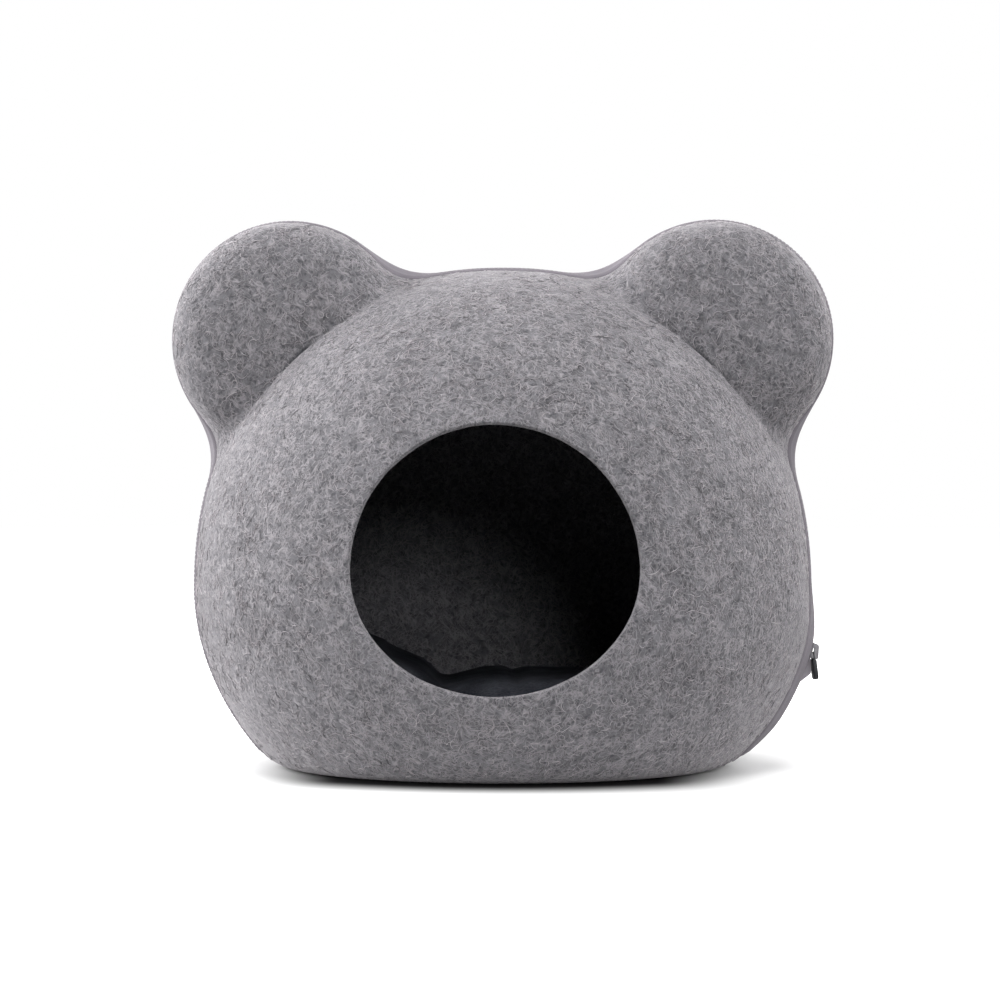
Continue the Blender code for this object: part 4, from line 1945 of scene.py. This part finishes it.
@dataclass
class Cushion:
    """The loose filled pad on the cave's floor, swollen by a cloth simulation and then crinkled."""

    form: CaveForm
    felt: float = 0.0045
    left: float = 0.194
    right: float = 0.172
    half_width: float = 0.130
    plan_roundness: float = 2.2
    rim: float = 0.025
    edge_roundness: float = 5.0
    clear: float = 0.0004
    start_crown: float = 0.0298
    ride_up: float = 0.044
    ride_from: tuple[float, float] = (-0.036, -0.146)
    columns: int = 120
    shares: tuple[float, ...] = (0.0, 0.15, 0.3, 0.45, 0.6, 0.72, 0.82, 0.90, 0.95, 0.98, 0.995, 1.0)
    start_inside: float = 0.972
    voxel: float = 0.0042
    pressure: float = 4.0
    frames: int = 20
    most_move: float = 0.009
    shrink: float = -0.04
    crinkle: float = 0.0012
    ridge_scales: Point = (34.0, 22.0, 26.0)
    ridge_fall: float = 2.2
    fine_scale: float = 92.0
    fine_share: float = 0.35
    pleats: tuple[tuple[float, float, float, float], ...] = (
        (-0.0440, 0.0076, 0.0095, 0.0200),
        (0.0085, 0.0018, 0.0035, 0.0060),
        (0.0700, 0.0014, 0.0040, 0.0050),
        (-0.0820, 0.0016, 0.0040, 0.0060),
    )
    pleat_slant: float = -0.054
    pleats_above: tuple[float, float] = (0.012, 0.035)
    wall_clear: float = 0.0007
    fill: float = 0.45

    def start_shape(self) -> Shape:
        """Shapes the pad before it swells, a little smaller than its place.

        Returns:
            The closed shape.
        """
        angles = np.linspace(0.0, 2.0 * math.pi, self.columns, endpoint=False)
        power = 2.0 / self.plan_roundness
        half_length = np.where(np.cos(angles) < 0.0, -self.left, self.right)
        plan_x = half_length * np.abs(np.cos(angles)) ** power
        plan_y = self.half_width * np.sign(np.sin(angles)) * np.abs(np.sin(angles)) ** power
        tops, bottoms = [], []
        for share in self.shares:
            fill = math.sqrt(max(0.0, 1.0 - share**self.edge_roundness))
            x, y = plan_x * share * self.start_inside, plan_y * share * self.start_inside
            rim = self.rim + self.ride_up * smooth_step(x, *self.ride_from)
            tops.append(np.stack([x, y, rim + self.start_crown * fill], axis=-1))
            bottoms.append(np.stack([x, y, rim * (1.0 - fill)], axis=-1))
        rows = np.array(bottoms + tops[-2::-1])
        rows[0], rows[-1] = rows[0].mean(axis=0), rows[-1].mean(axis=0)
        made = lofted(rows + [0.0, 0.0, self.felt + self.clear], closed=True)
        bmesh.ops.recalc_face_normals(made, faces=made.faces)
        return made

    def remeshed(self, made: Shape) -> Object:
        """Gives the pad an even mesh for the simulation.

        Args:
            made: The pad's shape, which is freed.

        Returns:
            The pad.
        """
        start = add_object("pad_start", to_mesh("pad_start", made))
        remesh = start.modifiers.new("even", "REMESH")
        remesh.mode = "VOXEL"
        remesh.voxel_size = self.voxel
        even = self.evaluated(start, "pad_even")
        bpy.data.objects.remove(start)
        return add_object("cushion_pad", even)

    @staticmethod
    def evaluated(obj: Object, name: str) -> bpy.types.Mesh:
        """Gives a copy of an object's mesh with its modifiers applied.

        Args:
            obj: The object.
            name: The mesh's name.

        Returns:
            The mesh.
        """
        graph = bpy.context.evaluated_depsgraph_get()
        mesh = bpy.data.meshes.new_from_object(obj.evaluated_get(graph))
        mesh.name = name
        return mesh

    def swell(self, pad: Object) -> None:
        """Blows the pad up with Cloth, moving no point further than it may, and applies the result.

        Args:
            pad: The pad.
        """
        start = read_points(pad.data)
        cloth = pad.modifiers.new("cloth", "CLOTH")
        cloth.settings.use_pressure = True
        cloth.settings.uniform_pressure_force = self.pressure
        cloth.settings.effector_weights.gravity = 0.0
        cloth.settings.shrink_min = self.shrink
        scene = bpy.context.scene
        for number in range(1, self.frames + 1):
            scene.frame_set(number)
        swollen = self.evaluated(pad, "pad_swollen")
        pad.modifiers.clear()
        scene.frame_set(1)
        move = read_points(swollen) - start
        length = np.maximum(np.linalg.norm(move, axis=1, keepdims=True), 1e-9)
        points = start + move * np.minimum(1.0, self.most_move / length)
        write_points(pad.data, points)

    def crinkles(self, points: np.ndarray, normals: np.ndarray) -> np.ndarray:
        """Raises soft ridges in the cover, and draws a pleat in where the pad bends up.

        Args:
            points: The cover's points.
            normals: Its normals there.

        Returns:
            The moved points.
        """
        moved = points.copy()
        for number, (point, normal) in enumerate(zip(points, normals)):
            slow = noise.noise(Vector(point * self.ridge_scales) + Vector((3.1, 7.7, 1.3)))
            fine = noise.noise(Vector(point * self.fine_scale) + Vector((9.2, 0.4, 5.1)))
            ridge = 1.0 - abs(slow) * self.ridge_fall
            moved[number] += normal * self.crinkle * (ridge + self.fine_share * fine)
        moved[:, 2] -= self.pleat_depths(points)
        return moved

    def pleat_depths(self, points: np.ndarray) -> np.ndarray:
        """Gives how far the pleats draw each point of the cover down.

        Args:
            points: The cover's points.

        Returns:
            One depth for each point, none of them on the pad's underside.
        """
        depths = np.zeros(len(points))
        for middle, depth, left, right in self.pleats:
            off = points[:, 0] - middle - self.pleat_slant * points[:, 1]
            depths += depth * np.exp(-((off / np.where(off < 0.0, left, right)) ** 2))
        return depths * smooth_step(points[:, 2], *self.pleats_above)

    def kept_in(self, points: np.ndarray) -> np.ndarray:
        """Holds the pad off the floor and the walls.

        Args:
            points: The cover's points.

        Returns:
            The moved points.
        """
        low = self.felt + self.wall_clear
        points = np.stack([points[:, 0], points[:, 1], np.maximum(points[:, 2], low)], axis=-1)
        centre = self.form.centre
        for _ in range(3):
            over = np.maximum(self.form.outside(points - centre) + low, 0.0)
            points = points - self.form.normals(points - centre) * over[:, None]
        return points

    def build(self, finish: Material) -> Object:
        """Builds the cushion, which stands for its node.

        Args:
            finish: The cover's material.

        Returns:
            The cushion.
        """
        pad = self.remeshed(self.start_shape())
        self.swell(pad)
        smooth = pad.modifiers.new("finer", "SUBSURF")
        smooth.levels = smooth.render_levels = 1
        finer = self.evaluated(pad, "cushion_pad")
        pad.modifiers.clear()
        pad.data = finer
        normals = np.empty(len(finer.vertices) * 3)
        finer.vertices.foreach_get("normal", normals)
        points = self.crinkles(read_points(finer), normals.reshape(-1, 3))
        write_points(finer, self.kept_in(points))
        finer.materials.clear()
        finer.materials.append(finish)
        finer.shade_smooth()
        placed(pad, "cushion_cloth", "cushion")
        return pad


# The studio.


def aimed(made: Object, place: Point, aim: Point) -> Object:
    """Places a light or the camera, and turns it towards a point.

    Args:
        made: The light or the camera.
        place: Where it stands.
        aim: The point that it looks at.

    Returns:
        The light or the camera.
    """
    made.location = place
    made.rotation_euler = (Vector(aim) - Vector(place)).to_track_quat("-Z", "Y").to_euler()
    return made


@dataclass(frozen=True)
class SoftLight:
    """A square area light that looks at a point."""

    name: str
    place: Point
    aim: Point
    size: float
    power: float

    def build(self) -> Object:
        """Adds the light to the scene.

        Returns:
            The light.
        """
        data = bpy.data.lights.new(self.name, "AREA")
        data.shape = "SQUARE"
        data.size = self.size
        data.energy = self.power
        return aimed(add_object(self.name, data), self.place, self.aim)


@dataclass
class Studio:
    """The floor with a shadow painted under the cave, the pale surroundings, the lights and the camera."""

    floor_half: float = 12.0
    base_half: tuple[float, float] = (0.165, 0.127)
    # The painted shadow's reach in base sizes, and its fading towards the sides.
    painted_shadow_reach: tuple[float, float] = (1.13, 1.62)
    painted_shadow_sides: tuple[float, float] = (0.110, 0.190)
    glow_sides: tuple[float, float] = (0.125, 0.40)
    glow_round: tuple[float, float] = (0.24, 0.60)
    bounce_to: tuple[float, float] = (0.30, 0.45)
    camera_distance: float = 2.0
    camera_turn: float = 1.8
    camera_height: float = 0.203
    aim: Point = (-0.0015, 0.0, 0.1949)
    lens: float = 97.96
    sky_seen: float = 1.0
    sky_light: float = 0.015
    lights: tuple[SoftLight, ...] = (
        SoftLight("left_back", (-2.0, 0.45, 0.9), (0.0, 0.0, 0.2), 1.4, 64.0),
        SoftLight("right_back", (2.0, 0.45, 0.9), (0.0, 0.0, 0.2), 1.4, 23.0),
        SoftLight("overhead", (0.0, 0.1, 2.3), (0.0, 0.0, 0.2), 1.6, 23.0),
        SoftLight("left_side", (-2.1, -1.1, 0.75), (0.0, 0.0, 0.2), 1.4, 27.5),
        SoftLight("right_side", (2.1, -1.1, 0.75), (0.0, 0.0, 0.2), 1.4, 18.5),
        SoftLight("front_right", (0.62, -2.75, 1.0), (0.0, 0.0, 0.15), 0.6, 18.0),
        SoftLight("front_steep", (0.1, -1.15, 2.2), (0.0, 0.0, 0.15), 0.9, 25.0),
        SoftLight("behind_left", (-1.3, 2.3, 1.3), (0.0, 0.0, 0.15), 1.4, 28.0),
        SoftLight("behind_right", (1.3, 2.3, 1.3), (0.0, 0.0, 0.15), 1.4, 24.0),
    )

    def build_floor(self) -> Object:
        """Lays the pale floor, with a painted shadow under the cave's base and a camera-only glow further
        off.

        Returns:
            The floor.
        """
        made = bmesh.new()
        bmesh.ops.create_grid(made, x_segments=8, y_segments=8, size=self.floor_half)
        finish, graph, shader = new_material("pale_floor")
        where = graph.add("NodeTexCoord").outputs["Object"]
        cloud = graph.ramp(graph.noise(where, 3.0), 0.3, 0.7)
        colour = graph.mix(cloud, display(243, 243, 243), display(247, 247, 247))
        off = graph.measure("LENGTH", where)
        seen = graph.add("NodeLightPath").outputs["Is Camera Ray"]
        # Painted shadow: the floor is darkened almost to black in front of and under the base, fading with
        # distance from it and towards the sides.
        reach = graph.measure("LENGTH", graph.vector_math("DIVIDE", where, (*self.base_half, 1.0)))
        aside = graph.math("ABSOLUTE", graph.add("NodeSeparateXYZ", {0: where}).outputs["X"])
        near = graph.ramp(reach, *self.painted_shadow_reach, 1.0, 0.0)
        near = graph.math("MULTIPLY", near, graph.ramp(aside, *self.painted_shadow_sides, 1.0, 0.0))
        # The floor's colour with the painted shadow mixed in.
        shaded = graph.mix(near, colour, display(8, 8, 9))
        far = graph.ramp(off, *self.bounce_to)
        bounced = graph.mix(far, display(195, 195, 195), display(105, 105, 105))
        glow = graph.math("MAXIMUM", graph.ramp(aside, *self.glow_sides), graph.ramp(off, *self.glow_round))
        glow = graph.math("MULTIPLY", glow, seen)
        graph.feed(shader, {"Base Color": graph.mix(seen, bounced, shaded), "Emission Strength": glow})
        graph.feed(shader, {"Roughness": 0.9, "Specular IOR Level": 0.1, "Emission Color": (1.0,) * 4})
        floor = from_builder("floor", made, finish)
        return floor

    def build_sky(self) -> None:
        """Lights the scene evenly, and shows white behind it."""
        world = bpy.data.worlds.new("pale_surroundings")
        world.use_nodes = True
        graph = Graph(world.node_tree)
        seen = graph.add("NodeLightPath").outputs["Is Camera Ray"]
        strength = graph.ramp(seen, 0.0, 1.0, self.sky_light, self.sky_seen)
        back = world.node_tree.nodes["Background"]
        graph.feed(back, {"Color": (1.0,) * 4, "Strength": strength})
        bpy.context.scene.world = world

    def build_camera(self) -> Object:
        """Places the camera where the photograph's stood.

        Returns:
            The camera.
        """
        data = bpy.data.cameras.new("camera")
        data.lens = self.lens
        data.sensor_width = 36.0
        turn = math.radians(self.camera_turn)
        place = Vector((math.sin(turn), -math.cos(turn), 0.0)) * self.camera_distance
        place.z = self.camera_height
        made = aimed(add_object("camera", data), place, self.aim)
        bpy.context.scene.camera = made
        return made

    def build(self) -> None:
        """Sets up the whole studio."""
        self.build_floor()
        self.build_sky()
        self.build_camera()
        for light in self.lights:
            light.build()
        bpy.context.scene.view_settings.view_transform = "Standard"


def zip_finishes(patterns: Patterns) -> dict[str, Material]:
    """Makes the zip's materials.

    Args:
        patterns: The shared node groups.

    Returns:
        The materials by their names.
    """
    finishes = (
        TapeFinish(),
        # Painted light: the folded end's cloth is the tape's in lighter colours, making up for the shade that
        # it sits in.
        TapeFinish("painted_light_tape_end", display(172, 167, 174), display(146, 141, 148)),
        PlainFinish("tape_thread", display(150, 145, 150), display(112, 107, 112), 0.8),
        PlainFinish("dark_thread", display(70, 68, 70), display(40, 39, 41), 0.8),
        PlainFinish("nylon_teeth", display(128, 123, 128), display(92, 88, 92), 0.5),
        PlainFinish("slider_paint", display(158, 156, 160), display(128, 126, 130), 0.42, 0.2),
        PlainFinish("pull_paint", display(58, 59, 62), display(34, 35, 37), 0.42, 0.4),
    )
    return {finish.name: finish.build(patterns) for finish in finishes}


def report(piece: Object) -> None:
    """Logs a finished piece."""
    LOG.info("%s with %d faces", piece.name, len(piece.data.polygons))


def main() -> None:
    """Builds the studio, then each sub-assembly in turn."""
    logging.basicConfig(level=logging.INFO, format="%(name)s: %(message)s")
    Studio().build()
    patterns = Patterns()
    form = CaveForm()
    grid = SkinGrid(form)
    felt = FeltFinish().build(patterns)
    # Painted shade: the shells' inner face is the same felt in darker colours.
    shaded = {"ground": display(88, 88, 92), "pale": display(150, 146, 150), "dark": display(44, 45, 49)}
    inside = FeltFinish("painted_shade_inner_felt", **shaded).build(patterns)
    strands = StrandFinish().build()
    shells, fibres = FeltShells(form, grid), LooseFibres(form)
    for side in Side:
        shell = shells.build(side, felt, inside)
        loose = fibres.build(side, shells.skins[side], strands)
        shells.declare(side, shell, loose)
        report(shell)
        report(loose)
    path = ZipPath(form, grid)
    finishes = zip_finishes(patterns)
    tapes = ZipTapes(path)
    for side in Side:
        for piece in tapes.build(side, finishes["mauve_tape"], finishes["tape_thread"]):
            report(piece)
    for piece in ZipTeeth(path).build(finishes["nylon_teeth"], finishes["dark_thread"]):
        report(piece)
    slider = ZipSlider(path)
    report(slider.build(finishes["slider_paint"]))
    report(ZipPull(slider).build(finishes["pull_paint"]))
    report(ZipEndTab(path).build(finishes["painted_light_tape_end"]))
    report(Cushion(form).build(NavyFinish().build(patterns)))


if __name__ == "__main__":
    main()
